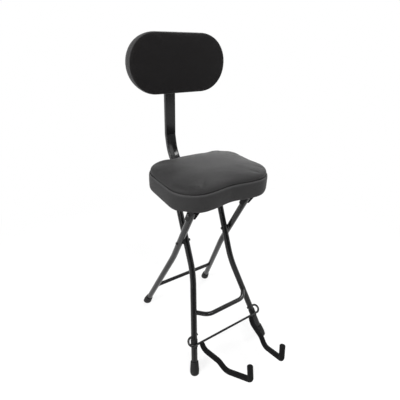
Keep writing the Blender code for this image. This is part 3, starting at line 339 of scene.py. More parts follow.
def half_size(vertices):
    """How far some vertices reach along X and along Y."""
    return max(vertex.co.x for vertex in vertices), max(vertex.co.y for vertex in vertices)


def part_of_one(value):
    """A value kept between 0 and 1."""
    return min(1.0, max(0.0, value))


def tidy_mesh(piece):
    """Merges doubles, closes holes and turns the faces outward."""
    edit(piece)
    bpy.ops.mesh.remove_doubles(threshold=DOUBLE)
    bpy.ops.mesh.fill_holes(sides=0)
    bpy.ops.mesh.normals_make_consistent(inside=False)
    leave_edit()
    return piece


def settle(piece):
    """Puts a piece's place into its mesh, so that its object sits at the origin."""
    take(piece)
    bpy.ops.object.transform_apply(location=True, rotation=True, scale=True)
    return piece


def plate(width, depth, place=(0, 0, 0)):
    """A flat rectangle that faces up."""
    piece = added(bpy.ops.mesh.primitive_plane_add, size=1.0)
    piece.scale = (width, depth, 1.0)
    piece.location = place
    return settle(piece)


def apply_modifier(piece, kind, **settings):
    """Adds a modifier, sets it and applies it."""
    take(piece)
    bpy.ops.object.modifier_add(type=kind)
    modifier = piece.modifiers[-1]
    for name, value in settings.items():
        setattr(modifier, name, value)
    bpy.ops.object.modifier_apply(modifier=modifier.name)


def copied(piece):
    """A copy with its own mesh."""
    take(piece)
    bpy.ops.object.duplicate(linked=False)
    return bpy.context.object


def joined(pieces):
    take(pieces[0])
    for piece in pieces[1:]:
        piece.select_set(True)
    bpy.ops.object.join()
    return bpy.context.object


def cut(piece, cutter):
    """Takes a cutter's space out of a piece."""
    apply_modifier(piece, "BOOLEAN", operation="DIFFERENCE", object=cutter, solver="EXACT")
    bpy.data.objects.remove(cutter)


def aimed(piece, origin, direction):
    """Stands a piece on a point, its own Z along a direction."""
    turn = Vector(direction).to_track_quat("Z", "Y").to_matrix().to_4x4()
    piece.matrix_world = Matrix.Translation(origin) @ turn
    return settle(piece)


def mirrored(point, side):
    return Vector((point.x * side, point.y, point.z))


def dress(piece, name, body, slot, nodes=(), smooth=35.0):
    """Names a finished piece, smooths it, gives it its finish and hangs it on its body."""
    settle(piece)
    bpy.ops.object.shade_smooth_by_angle(angle=math.radians(smooth))
    piece.name = name
    piece.data.name = name
    if not piece.data.materials:
        piece.data.materials.append(finish(slot))
    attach(piece, body)
    if nodes:
        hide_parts(*nodes)
    return piece


def place_copies(master, places, slot, suffix, smooth=35.0):
    """Stands a copy of a piece at each place and removes the piece itself.

    Each place is the node that the copy replaces, its body, a point and a direction."""
    for node, body, origin, direction in places:
        piece = aimed(copied(master), origin, direction)
        dress(piece, node + suffix, body, slot, [node], smooth)
    bpy.data.objects.remove(master)


def rounded_path(corners, radii, step=math.radians(4.0)):
    """Points along straight runs joined by round bends, with one radius for each inner corner."""
    points = [corners[0]]
    for before, corner, after, radius in zip(corners, corners[1:], corners[2:], radii):
        back = (before - corner).normalized()
        ahead = (after - corner).normalized()
        turn = math.pi - back.angle(ahead)
        start = corner + back * radius * math.tan(turn / 2)
        centre = corner + (back + ahead).normalized() * radius / math.cos(turn / 2)
        arm = start - centre
        axis = arm.cross(-back)
        steps = max(2, math.ceil(turn / step))
        for index in range(steps + 1):
            point = centre + Matrix.Rotation(turn * index / steps, 3, axis) @ arm
            if (point - points[-1]).length > DOUBLE:
                points.append(point)
    points.append(corners[-1])
    return points


def tube(points, radius, cyclic=False, sides=24, shares=()):
    """A round bar drawn as a curve along a path and made a mesh.

    shares are the parts of the radius that its first points have."""
    line = added(bpy.ops.curve.primitive_nurbs_path_add).data
    line.splines.clear()
    run = line.splines.new("POLY")
    run.points.add(len(points) - 1)
    for spot, place in zip(run.points, points):
        spot.co = (*place, 1)
    for spot, share in zip(run.points, shares):
        spot.radius = share
    run.use_cyclic_u = cyclic
    line.dimensions = "3D"
    line.fill_mode = "FULL"
    line.twist_mode = "MINIMUM"
    line.bevel_depth = radius
    line.bevel_resolution = sides // 2 - 2
    line.use_fill_caps = not cyclic
    bpy.ops.object.convert(target="MESH")
    return tidy_mesh(bpy.context.object)


def turned(profile, steps=TURN_STEPS):
    """A profile of radius and height points spun round its own Z axis."""
    piece = added(bpy.ops.mesh.primitive_plane_add)
    edit(piece)
    bpy.ops.mesh.merge(type="CENTER")
    bpy.ops.transform.translate(value=(profile[0][0], 0, profile[0][1]))
    for (radius, height), (next_radius, next_height) in zip(profile, profile[1:]):
        extrude((next_radius - radius, 0, next_height - height))
    pick_all()
    bpy.ops.mesh.spin(steps=steps, angle=2 * math.pi, center=(0, 0, 0), axis=(0, 0, 1))
    return tidy_mesh(piece)


def profile_of(corners, radii, step=math.radians(15.0)):
    """A turning profile with rounded corners."""
    path = rounded_path([Vector((x, 0, y)) for x, y in corners], radii, step)
    return [(point.x, point.z) for point in path]


def weld_path(point, along, radius, start, end, leg_radius):
    """The closed line where a bar that leaves a leg's middle comes out of the leg's surface."""
    axis = (end - start).normalized()
    side = along.orthogonal().normalized()
    rise = along.cross(side)
    run = along - axis * along.dot(axis)
    path = []
    for step in range(WELD_STEPS):
        turn = 2 * math.pi * step / WELD_STEPS
        edge = point + (side * math.cos(turn) + rise * math.sin(turn)) * radius
        flat = (edge - start) - axis * (edge - start).dot(axis)
        reach = flat.dot(run) ** 2 - run.dot(run) * (flat.dot(flat) - leg_radius ** 2)
        path.append(edge + along * (math.sqrt(max(0.0, reach)) - flat.dot(run)) / run.dot(run))
    return path


# Places on the leg frames


def leg_point(stand, slope, half, bend_height, height):
    """Centre of a left leg at a height: upright above its bend, splayed below it."""
    below = max(0.0, 1 - height / bend_height)
    return Vector((half + (stand.x - half) * below, stand.y + slope * height, height))


def rear_point(sizes, height):
    return leg_point(REAR_STAND, REAR_SLOPE, sizes.rear_half, sizes.rear_bend_height, height)


def front_point(sizes, height):
    return leg_point(FRONT_STAND, FRONT_SLOPE, sizes.front_half, sizes.front_bend_height, height)


def rod_line(sizes, cradle):
    """Depth and height of the cradle's cross rod, which rests on the front legs' sleeves."""
    height = CRADLE_PIVOT.z - cradle.rod_drop
    stand_off = sizes.sleeve_radius + cradle.rest_gap + cradle.rod_diameter / 2
    lean = math.atan(FRONT_SLOPE)
    return front_point(sizes, height).y - stand_off / math.cos(lean), height


# Finishes


class Wire:
    """A shader socket that takes part in Python expressions; each operator adds a Math node."""

    def __init__(self, tree, socket=None):
        self.tree = tree
        self.socket = socket

    def node(self, kind, settings=None, inputs=None, output=0):
        """Adds a node, sets it, feeds its sockets and returns one of its outputs."""
        made = self.tree.nodes.new(kind)
        for name, value in (settings or {}).items():
            setattr(made, name, value)
        for name, value in (inputs or {}).items():
            self.feed(made.inputs[name], value)
        return Wire(self.tree, made.outputs[output])

    def feed(self, socket, value):
        """Links a wire to a socket or sets a plain value on it."""
        if isinstance(value, Wire):
            self.tree.links.new(value.socket, socket)
        else:
            socket.default_value = value

    def maths(self, operation, first, second=0.0):
        return self.node("ShaderNodeMath", {"operation": operation}, {0: first, 1: second})

    def __add__(self, other):
        return self.maths("ADD", self, other)

    def __sub__(self, other):
        return self.maths("SUBTRACT", self, other)

    def __rsub__(self, other):
        return self.maths("SUBTRACT", other, self)

    def __mul__(self, other):
        return self.maths("MULTIPLY", self, other)

    __radd__ = __add__
    __rmul__ = __mul__

    def over(self, low, high):
        """This value from 0 at low to 1 at high."""
        settings = {"interpolation_type": "SMOOTHSTEP"}
        inputs = {"Value": self, "From Min": low, "From Max": high}
        return self.node("ShaderNodeMapRange", settings, inputs)

    def noise(self, where, scale, detail=2.0, roughness=0.5):
        inputs = {"Vector": where, "Scale": scale, "Detail": detail, "Roughness": roughness}
        return self.node("ShaderNodeTexNoise", None, inputs)

    def blend(self, share, first, second):
        """A mix of two colours."""
        inputs = {0: share, 6: first, 7: second}
        return self.node("ShaderNodeMix", {"data_type": "RGBA"}, inputs, 2)

    def stretched(self, where, scale):
        return self.node("ShaderNodeMapping", None, {"Vector": where, "Scale": scale})

    def bump(self, height, strength, distance, normal=None):
        inputs = {"Height": height, "Strength": strength, "Distance": distance}
        if normal:
            inputs["Normal"] = normal
        return self.node("ShaderNodeBump", None, inputs)


def shade(base, share):
    """A colour made lighter or darker by a factor."""
    return tuple(min(1.0, channel * share) for channel in base) + (1.0,)


def paint_finish(wire, where, base):
    """Gloss black paint with a little orange peel, dust and rubbed patches."""
    peel = wire.noise(where, 520.0, 2.0)
    cloud = wire.noise(where, 14.0, 4.0)
    rub = wire.noise(wire.stretched(where, (60.0, 60.0, 9.0)), 6.0, 5.0, 0.7).over(0.56, 0.74)
    dust = wire.noise(where, 900.0, 1.0).over(0.66, 0.78)
    tint = wire.blend(cloud, shade(base, 0.75), shade(base, 1.35))
    tint = wire.blend(rub * 0.30, tint, shade(base, 3.2))
    tint = wire.blend(dust * 0.25, tint, (0.16, 0.155, 0.15, 1.0))
    normal = wire.bump(peel, 0.10, 0.0003)
    roughness = 0.13 + cloud * 0.10 + rub * 0.14 + dust * 0.2
    return {"Base Color": tint, "Roughness": roughness, "Normal": normal, "Specular IOR Level": 0.36}


def satin_finish(wire, where, base):
    """Thin satin paint over pressed sheet, with fine drag lines and dull handling marks."""
    drag = wire.noise(wire.stretched(where, (120.0, 120.0, 900.0)), 1.0, 3.0, 0.6)
    marks = wire.noise(where, 110.0, 4.0, 0.6).over(0.5, 0.75)
    tint = wire.blend(drag, shade(base, 0.7), shade(base, 1.5))
    tint = wire.blend(marks * 0.3, tint, shade(base, 3.0))
    normal = wire.bump(drag, 0.15, 0.0003)
    roughness = 0.46 + drag * 0.12 + marks * 0.10
    return {"Base Color": tint, "Roughness": roughness, "Normal": normal, "Specular IOR Level": 0.14}


def zinc_finish(wire, where, base):
    """Zinc plate: fine spangle with darker, duller patches."""
    spangle = wire.node("ShaderNodeTexVoronoi", None, {"Vector": where, "Scale": 900.0}, "Color")
    cells = wire.node("ShaderNodeSeparateColor", None, {"Color": spangle})
    dull = wire.noise(where, 260.0, 4.0, 0.6)
    tint = wire.blend(dull, shade(base, 0.62), shade(base, 1.12))
    roughness = 0.26 + cells * 0.10 + dull * 0.16
    normal = wire.bump(dull, 0.15, 0.0002)
    return {"Base Color": tint, "Roughness": roughness, "Normal": normal, "Metallic": 1.0}


def rubber_finish(wire, where, base):
    """Matte moulded rubber, dusty low down."""
    grain = wire.noise(where, 1500.0, 3.0, 0.6)
    cloud = wire.noise(where, 70.0, 4.0)
    height = wire.node("ShaderNodeSeparateXYZ", None, {"Vector": where}, "Z")
    scuff = (1.0 - height.over(0.0, 0.016)) * cloud.over(0.35, 0.75)
    tint = wire.blend(cloud, shade(base, 0.8), shade(base, 1.35))
    tint = wire.blend(scuff * 0.5, tint, (0.10, 0.097, 0.092, 1.0))
    normal = wire.bump(grain, 0.35, 0.0003)
    return {
        "Base Color": tint,
        "Roughness": 0.58 + grain * 0.25,
        "Normal": normal,
        "Specular IOR Level": 0.3,
    }


def plastic_finish(wire, where, base):
    """Moulded plastic with a fine spark-eroded texture."""
    spark = wire.noise(where, 2400.0, 2.0, 0.7)
    cloud = wire.noise(where, 90.0, 3.0)
    tint = wire.blend(cloud, shade(base, 0.85), shade(base, 1.3))
    normal = wire.bump(spark, 0.35, 0.0002)
    return {"Base Color": tint, "Roughness": 0.38 + spark * 0.2, "Normal": normal}


def leatherette_finish(wire, where, base):
    """Embossed cover: pebble grain with fine creases and painted shade in the grain's grooves and the seams; on
    its rolls a painted highlight, and less roughness where they are rubbed shiny.
    """
    # seam marks where painted shade darkens the seam groove; roll marks where a painted highlight lightens the
    # rolled shoulder
    seam = wire.node("ShaderNodeAttribute", {"attribute_name": "seam"}, None, "Fac")
    roll = wire.node("ShaderNodeAttribute", {"attribute_name": "roll"}, None, "Fac")
    warp = wire.noise(where, 300.0, 2.0)
    grain_inputs = {"Vector": where, "Scale": 820.0, "Randomness": 0.9}
    pebble = wire.node("ShaderNodeTexVoronoi", {"feature": "DISTANCE_TO_EDGE"}, grain_inputs, "Distance")
    pebble = pebble.over(0.0, 0.16)
    crease = wire.noise(wire.stretched(where, (1.0, 2.2, 1.6)), 38.0, 5.0, 0.62)
    worn = wire.noise(where, 9.0, 4.0, 0.55)
    tint = wire.blend(worn, shade(base, 0.82), shade(base, 1.22))
    # the pebbles' grooves are painted darker: painted shade in the grain's hollows
    tint = wire.blend(pebble * 0.55, shade(base, 0.55), tint)
    # painted highlight along the rolls, beside their lower roughness
    tint = wire.blend(roll * 0.45, tint, shade(base, 2.2))
    # painted shade in the seam grooves
    tint = wire.blend(seam * 0.9, tint, shade(base, 0.12))
    normal = wire.bump(crease, 0.07, 0.003)
    normal = wire.bump(pebble + warp * 0.4, 0.32, 0.0004, normal)
    roughness = 0.56 - pebble * 0.12 + worn * 0.10 - roll * 0.14 + seam * 0.3
    return {"Base Color": tint, "Roughness": roughness, "Normal": normal, "Specular IOR Level": 0.13}


def fabric_finish(wire, where, base):
    """A close plain weave: threads that pass over and under each other, with a soft nap."""
    pitch = 2 * math.pi / 0.0016
    sway = wire.noise(where, 60.0, 2.0) * 1.6
    split = {"Vector": where}
    warp = wire.maths("SINE", wire.node("ShaderNodeSeparateXYZ", None, split, "X") * pitch + sway)
    weft = wire.maths("SINE", wire.node("ShaderNodeSeparateXYZ", None, split, "Z") * pitch + sway)
    weave = (warp * weft) * 0.5 + 0.5
    nap = wire.noise(where, 2200.0, 3.0, 0.7)
    slub = wire.noise(wire.stretched(where, (1.0, 1.0, 14.0)), 45.0, 4.0, 0.6)
    # the tone follows the weave, its low points painted darker as painted shade between the threads, and the slubs
    # at random
    tint = wire.blend(weave * 0.6 + slub * 0.4, shade(base, 0.55), shade(base, 1.5))
    tint = wire.blend(nap.over(0.6, 0.8) * 0.35, tint, shade(base, 4.0))
    normal = wire.bump(weave * 0.7 + nap * 0.5, 0.6, 0.0005)
    return {
        "Base Color": tint,
        "Roughness": 0.92 - nap * 0.1,
        "Normal": normal,
        "Specular IOR Level": 0.12,
        "Sheen Weight": 0.02,
        "Sheen Roughness": 0.6,
    }


def foam_finish(wire, where, base):
    """Closed-cell foam sleeve: dull skin with fine pits."""
    inputs = {"Vector": where, "Scale": 1100.0}
    cells = wire.node("ShaderNodeTexVoronoi", None, inputs, "Distance")
    pits = cells.over(0.15, 0.6)
    cloud = wire.noise(where, 55.0, 4.0)
    tint = wire.blend(cloud, shade(base, 0.8), shade(base, 1.4))
    # pits painted darker: painted shade in the foam's hollows
    tint = wire.blend(pits * 0.5, tint, shade(base, 0.45))
    normal = wire.bump(1.0 - pits, 0.45, 0.0005)
    return {
        "Base Color": tint,
        "Roughness": 0.80 + cloud * 0.15,
        "Normal": normal,
        "Specular IOR Level": 0.12,
        "Sheen Weight": 0.01,
    }


def plywood_finish(wire, where, base):
    """Stained plywood: long grain that shows through the stain."""
    grain = wire.noise(wire.stretched(where, (4.0, 90.0, 90.0)), 3.0, 6.0, 0.65)
    pores = wire.noise(wire.stretched(where, (40.0, 900.0, 900.0)), 1.0, 3.0, 0.6).over(0.58, 0.7)
    tint = wire.blend(grain, shade(base, 0.6), shade(base, 1.9))
    tint = wire.blend(pores * 0.6, tint, shade(base, 0.35))
    normal = wire.bump(grain - pores * 0.6, 0.3, 0.0006)
    return {"Base Color": tint, "Roughness": 0.62 + grain * 0.2, "Normal": normal}


FINISH_MAKERS = {
    "black_paint": paint_finish,
    "bracket_paint": satin_finish,
    "zinc_steel": zinc_finish,
    "black_rubber": rubber_finish,
    "black_plastic": plastic_finish,
    "seat_leatherette": leatherette_finish,
    "back_fabric": fabric_finish,
    "hook_foam": foam_finish,
    "plywood": plywood_finish,
}


def finish(slot):
    """The procedural material of a slot, made on first use."""
    name = "chair_" + slot
    if name in bpy.data.materials:
        return bpy.data.materials[name]
    material = bpy.data.materials.new(name)
    material.use_nodes = True
    wire = Wire(material.node_tree)
    where = wire.node("ShaderNodeTexCoord", None, None, "Object")
    base = tuple(getattr(bpy.context.scene.chair_finishes, slot))
    sockets = material.node_tree.nodes["Principled BSDF"].inputs
    for socket, value in FINISH_MAKERS[slot](wire, where, base).items():
        wire.feed(sockets[socket], value)
    return material


# Padded pieces

CORNER_STEPS = 18
EDGE_CUTS = 16
LONG_EDGE = 0.02  # an edge of the outline above this length is one of its straight sides
CROWN_RINGS = (0.96, 0.90, 0.82, 0.72, 0.60, 0.46)  # parts of the outline's size
CROWN_POWER = 7.0  # the higher, the flatter the crown's middle
RING_POWER = 3.0  # 2 would make the rings oval
RING_ROUNDING = 0.3  # part of the way from the outline's form to such a ring
EASING_ROUNDS = 30
HELD_HEIGHT = 0.004  # the cover is fixed to the board below this height
FILL_FRAMES = 20
COVER = {
    "quality": 6,
    "mass": 0.3,
    "tension_stiffness": 40.0,
    "compression_stiffness": 40.0,
    "bending_stiffness": 4.0,
    "use_pressure": True,
    "uniform_pressure_force": 4.0,
}
PUCKERS = ((96, 1.0, 0.0), (61, 0.6, 1.3))
LIP_HEIGHT = 0.016  # the lip is formed from the cover below this height
LIP_START = 0.88  # part of the pad's reach at which the lip begins
LIP_RUN = 0.06
POCKET_GAP = 0.0003
POCKET_DEPTH = 0.006
BACK_END_FLAT = 0.0006  # what the backrest's end radius lacks of half its height
JOINT_WIDTH = 0.0022
JOINT_REACH = 0.012
JOINT_DEPTH = 0.0016


def pad_outline(width, depth, corners, waist=0.0):
    """A flat face with round corners, its front at low Y and, where asked, hollowed there.

    corners holds the rear and the front corner radius."""
    face = plate(width, depth)
    edit(face)
    for back, radius in zip((1, -1), corners):
        edge = back * depth / 2
        pick("VERT", lambda vertex: same(vertex.co.y, edge) and same(abs(vertex.co.x), width / 2))
        bevel_points(radius, CORNER_STEPS)
    pick_all()
    bpy.ops.mesh.delete(type="ONLY_FACE")
    pick("EDGE", lambda item: item.calc_length() > LONG_EDGE)
    bpy.ops.mesh.subdivide(number_cuts=EDGE_CUTS)
    pick_all()
    bpy.ops.mesh.edge_face_add()
    reach = width / 2 - corners[1]
    with open_shape() as shape:
        for vertex in shape.verts:
            if same(vertex.co.y, -depth / 2) and abs(vertex.co.x) < reach:
                vertex.co.y += waist * (1 + math.cos(math.pi * vertex.co.x / reach)) / 2
        shape.normal_update()
        facing_down = shape.faces[:][0].normal.z < 0
    if facing_down:
        bpy.ops.mesh.flip_normals()
    return face


def chosen_face(shape):
    """The one face that is selected."""
    return next(face for face in shape.faces if face.select)


def draw_in(inward):
    """Moves the edge of the selected face in, square to its sides."""
    with open_shape() as shape:
        rim = [loop.vert for loop in chosen_face(shape).loops]
        moves = []
        for before, after in zip(rim[-1:] + rim[:-1], rim[1:] + rim[:1]):
            along = after.co - before.co
            moves.append(Vector((-along.y, along.x, 0)).normalized() * inward)
        for vertex, move in zip(rim, moves):
            vertex.co += move


def fill_with_grid(test):
    """Puts a grid of small faces in place of the large flat face that passes a test."""
    pick("FACE", test)
    bpy.ops.mesh.delete(type="ONLY_FACE")
    pick("VERT", lambda vertex: vertex.is_boundary)
    shape = bmesh.from_edit_mesh(bpy.context.object.data)
    rim = [vertex for vertex in shape.verts if vertex.select]
    quarter = len(rim) // 4
    lean = math.pi / 4 * (quarter - EDGE_CUTS - 1) / CORNER_STEPS
    towards = Vector((math.sin(lean), math.cos(lean), 0))
    shape.select_history.add(max(rim, key=lambda vertex: vertex.co.dot(towards)))
    bpy.ops.mesh.fill_grid(span=quarter, use_interp_simple=True)


def crown_at(share):
    """Part of a pad's crown that is reached where its outline has shrunk to a share."""
    return 1 - share ** CROWN_POWER


def ring_spread(place, width, depth):
    """How far out a place lies on rings of rounded form, 1 on the ring of a width and depth."""
    return (abs(place.x / width) ** RING_POWER + abs(place.y / depth) ** RING_POWER) ** (1 / RING_POWER)


def round_ring():
    """Rounds the corners of the selected face's edge a little."""
    with open_shape() as shape:
        rim = chosen_face(shape).verts
        size = half_size(rim)
        for vertex in rim:
            vertex.co.xy *= 1 + RING_ROUNDING * (1 / ring_spread(vertex.co, *size) - 1)


def raise_middle(base, rise):
    """Rounds the flat grid in the middle of the crown, so that it goes on as the rings round it do."""
    share = CROWN_RINGS[-1]
    with open_shape() as shape:
        flat = [vertex for vertex in shape.verts if same(vertex.co.z, base + rise * crown_at(share))]
        size = half_size(flat)
        for vertex in flat:
            vertex.co.z = base + rise * crown_at(share * min(1.0, ring_spread(vertex.co, *size)))


def ease_crown(pad, crown):
    """Eases the small wrinkles that the filling leaves in the upper panel."""
    edit(pad)
    pick("VERT", lambda vertex: vertex.index in crown)
    bpy.ops.mesh.vertices_smooth(factor=0.5, repeat=EASING_ROUNDS)
    leave_edit()


def put_in_order(piece):
    """Makes a mesh's faces anew in the order of their corners.

    Extruding leaves them in an order that varies, and with it the filling would."""
    data = piece.data
    faces = []
    for face in data.polygons:
        corners = list(face.vertices)
        first = corners.index(min(corners))
        faces.append(corners[first:] + corners[:first])
    shape = bmesh.new()
    points = [shape.verts.new(vertex.co) for vertex in data.vertices]
    for corners in sorted(faces):
        shape.faces.new([points[corner] for corner in corners])
    shape.to_mesh(data)
    shape.free()


def pad_shell(outline, levels, rise):
    """Builds a pad on its outline face: the levels of its side, then a crowned upper panel.

    Each level is how far inside the outline it lies and how high above the underside."""
    edit(outline)
    bpy.context.tool_settings.mesh_select_mode = (False, False, True)
    draw_in(levels[0][0])
    for below, level in zip(levels, levels[1:]):
        extrude((0, 0, level[1] - below[1]))
        draw_in(level[0] - below[0])
    last = 1.0
    height = 0.0
    for share in CROWN_RINGS:
        lift = rise * crown_at(share)
        extrude((0, 0, lift - height))
        bpy.ops.transform.resize(value=(share / last, share / last, 1.0), center_override=(0, 0, 0))
        round_ring()
        last, height = share, lift
    for upward in (1, -1):
        fill_with_grid(lambda face: len(face.verts) > CAP_CORNERS and face.normal.z * upward > 0.5)
    raise_middle(levels[-1][1], rise)
    turn_outward()
    leave_edit()
    put_in_order(outline)


def mark_levels(pad, name, heights):
    """Keeps a value on the levels of a pad at some heights, for the cover's finish to read as where it paints
    shade or a highlight.
    """
    values = []
    for vertex in pad.data.vertices:
        found = [value for height, value in heights.items() if same(vertex.co.z, height)]
        values.append(max(found, default=0.0))
    kept = pad.data.attributes.new(name, "FLOAT", "POINT")
    kept.data.foreach_set("value", values)


def fill_pad(pad, seam_level, sizes):
    """Swells a pad as a cover over foam, held at its underside and along its seam."""
    take(pad)
    held = pad.vertex_groups.new(name="held")
    for vertex in pad.data.vertices:
        if vertex.co.z < HELD_HEIGHT or same(vertex.co.z, seam_level):
            held.add([vertex.index], 1.0, "REPLACE")
    start = [vertex.co.copy() for vertex in pad.data.vertices]
    bpy.ops.object.modifier_add(type="CLOTH")
    cloth = pad.modifiers[-1]
    for name, value in COVER.items():
        setattr(cloth.settings, name, value)
    cloth.settings.effector_weights.gravity = 0.0
    cloth.settings.vertex_group_mass = held.name
    cloth.point_cache.frame_start = 1
    cloth.point_cache.frame_end = FILL_FRAMES
    scene = bpy.context.scene
    for number in range(1, FILL_FRAMES + 1):
        scene.frame_set(number)
    bpy.ops.object.modifier_apply(modifier=cloth.name)
    scene.frame_set(1)
    for vertex, place in zip(pad.data.vertices, start):
        move = vertex.co - place
        if move.length > sizes.swell_limit:
            vertex.co = place + move.normalized() * sizes.swell_limit
    pad.vertex_groups.clear()


def gather_seam(pad, seam_level, sizes):
    """Small puckers that the stitching pulls into the cover on both sides of the seam.

    PUCKERS holds each wave's number round the pad, its height and its shift."""
    normals = [vertex.normal.copy() for vertex in pad.data.vertices]
    for vertex, normal in zip(pad.data.vertices, normals):
        beside = max(0.0, 1 - abs(vertex.co.z - seam_level) / sizes.seam_reach)
        run = math.atan2(vertex.co.y, vertex.co.x)
        wave = sum(height * math.sin(run * count + shift) for count, height, shift in PUCKERS)
        vertex.co += normal * sizes.seam_pucker * beside * wave


def hang_lip(pad, drop):
    """Lowers the bottom edge of the pad's front half into a rolled lip."""
    edge = [vertex for vertex in pad.data.vertices if vertex.co.z < LIP_HEIGHT]
    reach = max(-vertex.co.y for vertex in edge)
    width = max(vertex.co.x for vertex in edge)
    for vertex in edge:
        ahead = part_of_one(0.5 - vertex.co.y / reach)
        spread = max(abs(vertex.co.x) / width, abs(vertex.co.y) / reach)
        vertex.co.z -= drop * ahead * part_of_one((spread - LIP_START) / LIP_RUN)


def pad_from(node, sizes, corners, levels, seam_level, rise, turn, marks, waist=0.0, lip=0.0, proud=0.0):
    """A filled and sewn pad in the space of a CAD pad, modelled lying flat and then turned."""
    low, high = sorted_box(turn.inverted(), *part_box(node))
    room = sizes.swell_room - proud
    size = high - low
    radii = [radius - room for radius in corners]
    pad = pad_outline(size.x - 2 * room, size.y - 2 * room, radii, waist)
    pad_shell(pad, levels, rise)
    crown = {vertex.index for vertex in pad.data.vertices if vertex.co.z > levels[-1][1] + NEAR}
    for name, heights in marks.items():
        mark_levels(pad, name, heights)
    fill_pad(pad, seam_level, sizes)
    ease_crown(pad, crown)
    hang_lip(pad, lip)
    apply_modifier(pad, "SUBSURF", levels=2, render_levels=2)
    gather_seam(pad, seam_level, sizes)
    centre = (low + high) / 2
    pad.matrix_world = turn @ Matrix.Translation((centre.x, centre.y, low.z))
    return settle(pad)


def sorted_box(matrix, low, high):
    """Lowest and highest corner of a box after a turn."""
    first, second = matrix @ low, matrix @ high
    return Vector(map(min, first, second)), Vector(map(max, first, second))


def board_pocket(pad, node, outward):
    """Cuts the space of the board, drawn out through the pad's underside, out of the pad."""
    low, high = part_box(node)
    centre = (low + high) / 2
    cutter = copied(frame["nodes"][node])
    cutter.parent = None
    for key in list(cutter.keys()):
        del cutter[key]
    edit(cutter)
    bpy.ops.mesh.remove_doubles(threshold=DOUBLE)
    pick("VERT", lambda vertex: (vertex.co - centre).dot(outward) > 0)
    bpy.ops.transform.translate(value=outward * POCKET_DEPTH)
    pick_all()
    grown = [1 + 2 * POCKET_GAP / size for size in high - low]
    bpy.ops.transform.resize(value=grown, center_override=centre)
    cut(pad, cutter)


class CHAIR_OT_seat_pad(bpy.types.Operator):
    """Model the seat's padded cover"""

    bl_idname = "guitar_chair.seat_pad"
    bl_label = "Seat Pad"

    def execute(self, context):
        sizes = context.scene.chair_pads
        corners = (sizes.seat_rear_corner, sizes.seat_front_corner)
        low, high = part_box("seat_cushion")
        edge = sizes.seat_side
        seam_level = edge - sizes.seam_depth
        levels = [(0.0045, 0.0), (0.0018, 0.0022), (0.0004, 0.006)]
        levels += [(0.0, edge * share) for share in (0.18, 0.40, 0.60, 0.76)]
        levels += [
            (0.0002, edge - 0.0085),
            (0.0009, edge - 0.0048),
            (0.0021, edge - 0.0022),
            (0.0035, edge - 0.0008),
            (0.0047, edge - 0.0012),
            (0.0055, seam_level),
            (0.0057, edge - 0.0010),
            (0.0053, edge + 0.0015),
            (0.0051, edge + 0.0040),
            (0.0056, edge + 0.0075),
            (0.0075, edge + 0.0115),
            (0.0110, edge + 0.0152),
            (0.0160, edge + 0.0180),
            (0.0230, edge + 0.0200),
        ]
        # seam: where the cover's finish paints shade into the seam groove; roll: where it paints a highlight on
        # the shoulder below the seam
        marks = {
            "seam": {seam_level: 0.9, edge - 0.0012: 0.6, edge - 0.0010: 0.6},
            "roll": {edge - 0.0048: 0.5, edge - 0.0022: 1.0, edge - 0.0008: 0.8},
        }
        rise = high.z - low.z - levels[-1][1] - sizes.swell_limit * 0.5 + sizes.seat_crown
        pad = pad_from(
            "seat_cushion", sizes, corners, levels, seam_level, rise, Matrix.Identity(4), marks,
            waist=sizes.seat_waist, lip=sizes.seat_lip, proud=sizes.seat_proud,
        )
        board_pocket(pad, "seat_board", DOWN)
        dress(pad, "seat_pad", "seat", "seat_leatherette", ["seat_cushion"], smooth=70.0)
        return {"FINISHED"}


class CHAIR_OT_back_pad(bpy.types.Operator):
    """Model the backrest's padded cover, fabric in front and leatherette round its side"""

    bl_idname = "guitar_chair.back_pad"
    bl_label = "Backrest Pad"

    def execute(self, context):
        sizes = context.scene.chair_pads
        low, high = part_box("back_cushion")
        end = (high.z - low.z) / 2 - BACK_END_FLAT
        edge = high.y - low.y - sizes.back_crown - sizes.swell_limit * 0.5
        roll = sizes.back_roll
        seam_level = edge - sizes.back_seam_drop
        levels = [(0.0080, 0.0), (0.0052, 0.003), (0.0034, 0.0085), (0.0018, 0.017), (0.0006, 0.027)]
        levels += [
            (0.0, seam_level - 0.0100),
            (0.0004, seam_level - 0.0050),
            (0.0012, seam_level - 0.0022),
            (0.0018, seam_level - 0.0012),
            (0.0018 + sizes.seam_depth * 0.7, seam_level),
            (0.0020, seam_level + 0.0013),
            (0.0020, seam_level + 0.0030),
            (0.0022 + roll * 0.12, edge - roll * 0.50),
            (0.0022 + roll * 0.35, edge - roll * 0.22),
            (0.0022 + roll * 0.70, edge - roll * 0.06),
            (0.0022 + roll * 1.20, edge),
        ]
        turn = Matrix.Rotation(math.pi / 2, 4, "X")
        # seam: painted shade in the seam; roll: painted highlight on the side strip beside the seam
        marks = {
            "seam": {seam_level: 1.0},
            "roll": {seam_level - 0.0050: 0.4, seam_level - 0.0022: 0.8, seam_level - 0.0012: 0.6},
        }
        rise = sizes.back_crown
        pad = pad_from("back_cushion", sizes, (end, end), levels, seam_level, rise, turn, marks)
        board_pocket(pad, "back_board", -FORWARD)
        self.side_joint(pad, sizes, high)
        pad.data.materials.append(finish("back_fabric"))
        pad.data.materials.append(finish("seat_leatherette"))
        seam_y = high.y - seam_level
        for face in pad.data.polygons:
            face.material_index = 0 if face.center.y < seam_y else 1
        dress(pad, "back_pad", "backrest", "back_fabric", ["back_cushion"], smooth=70.0)
        return {"FINISHED"}

    def side_joint(self, pad, sizes, high):
        """The short cross seam at the top, where the ends of the side strip are sewn together."""
        for vertex in pad.data.vertices:
            away = (vertex.co.x - sizes.back_joint) / JOINT_WIDTH
            if vertex.co.z > high.z - JOINT_REACH:
                vertex.co.z -= JOINT_DEPTH * math.exp(-away * away)


# Frame pieces

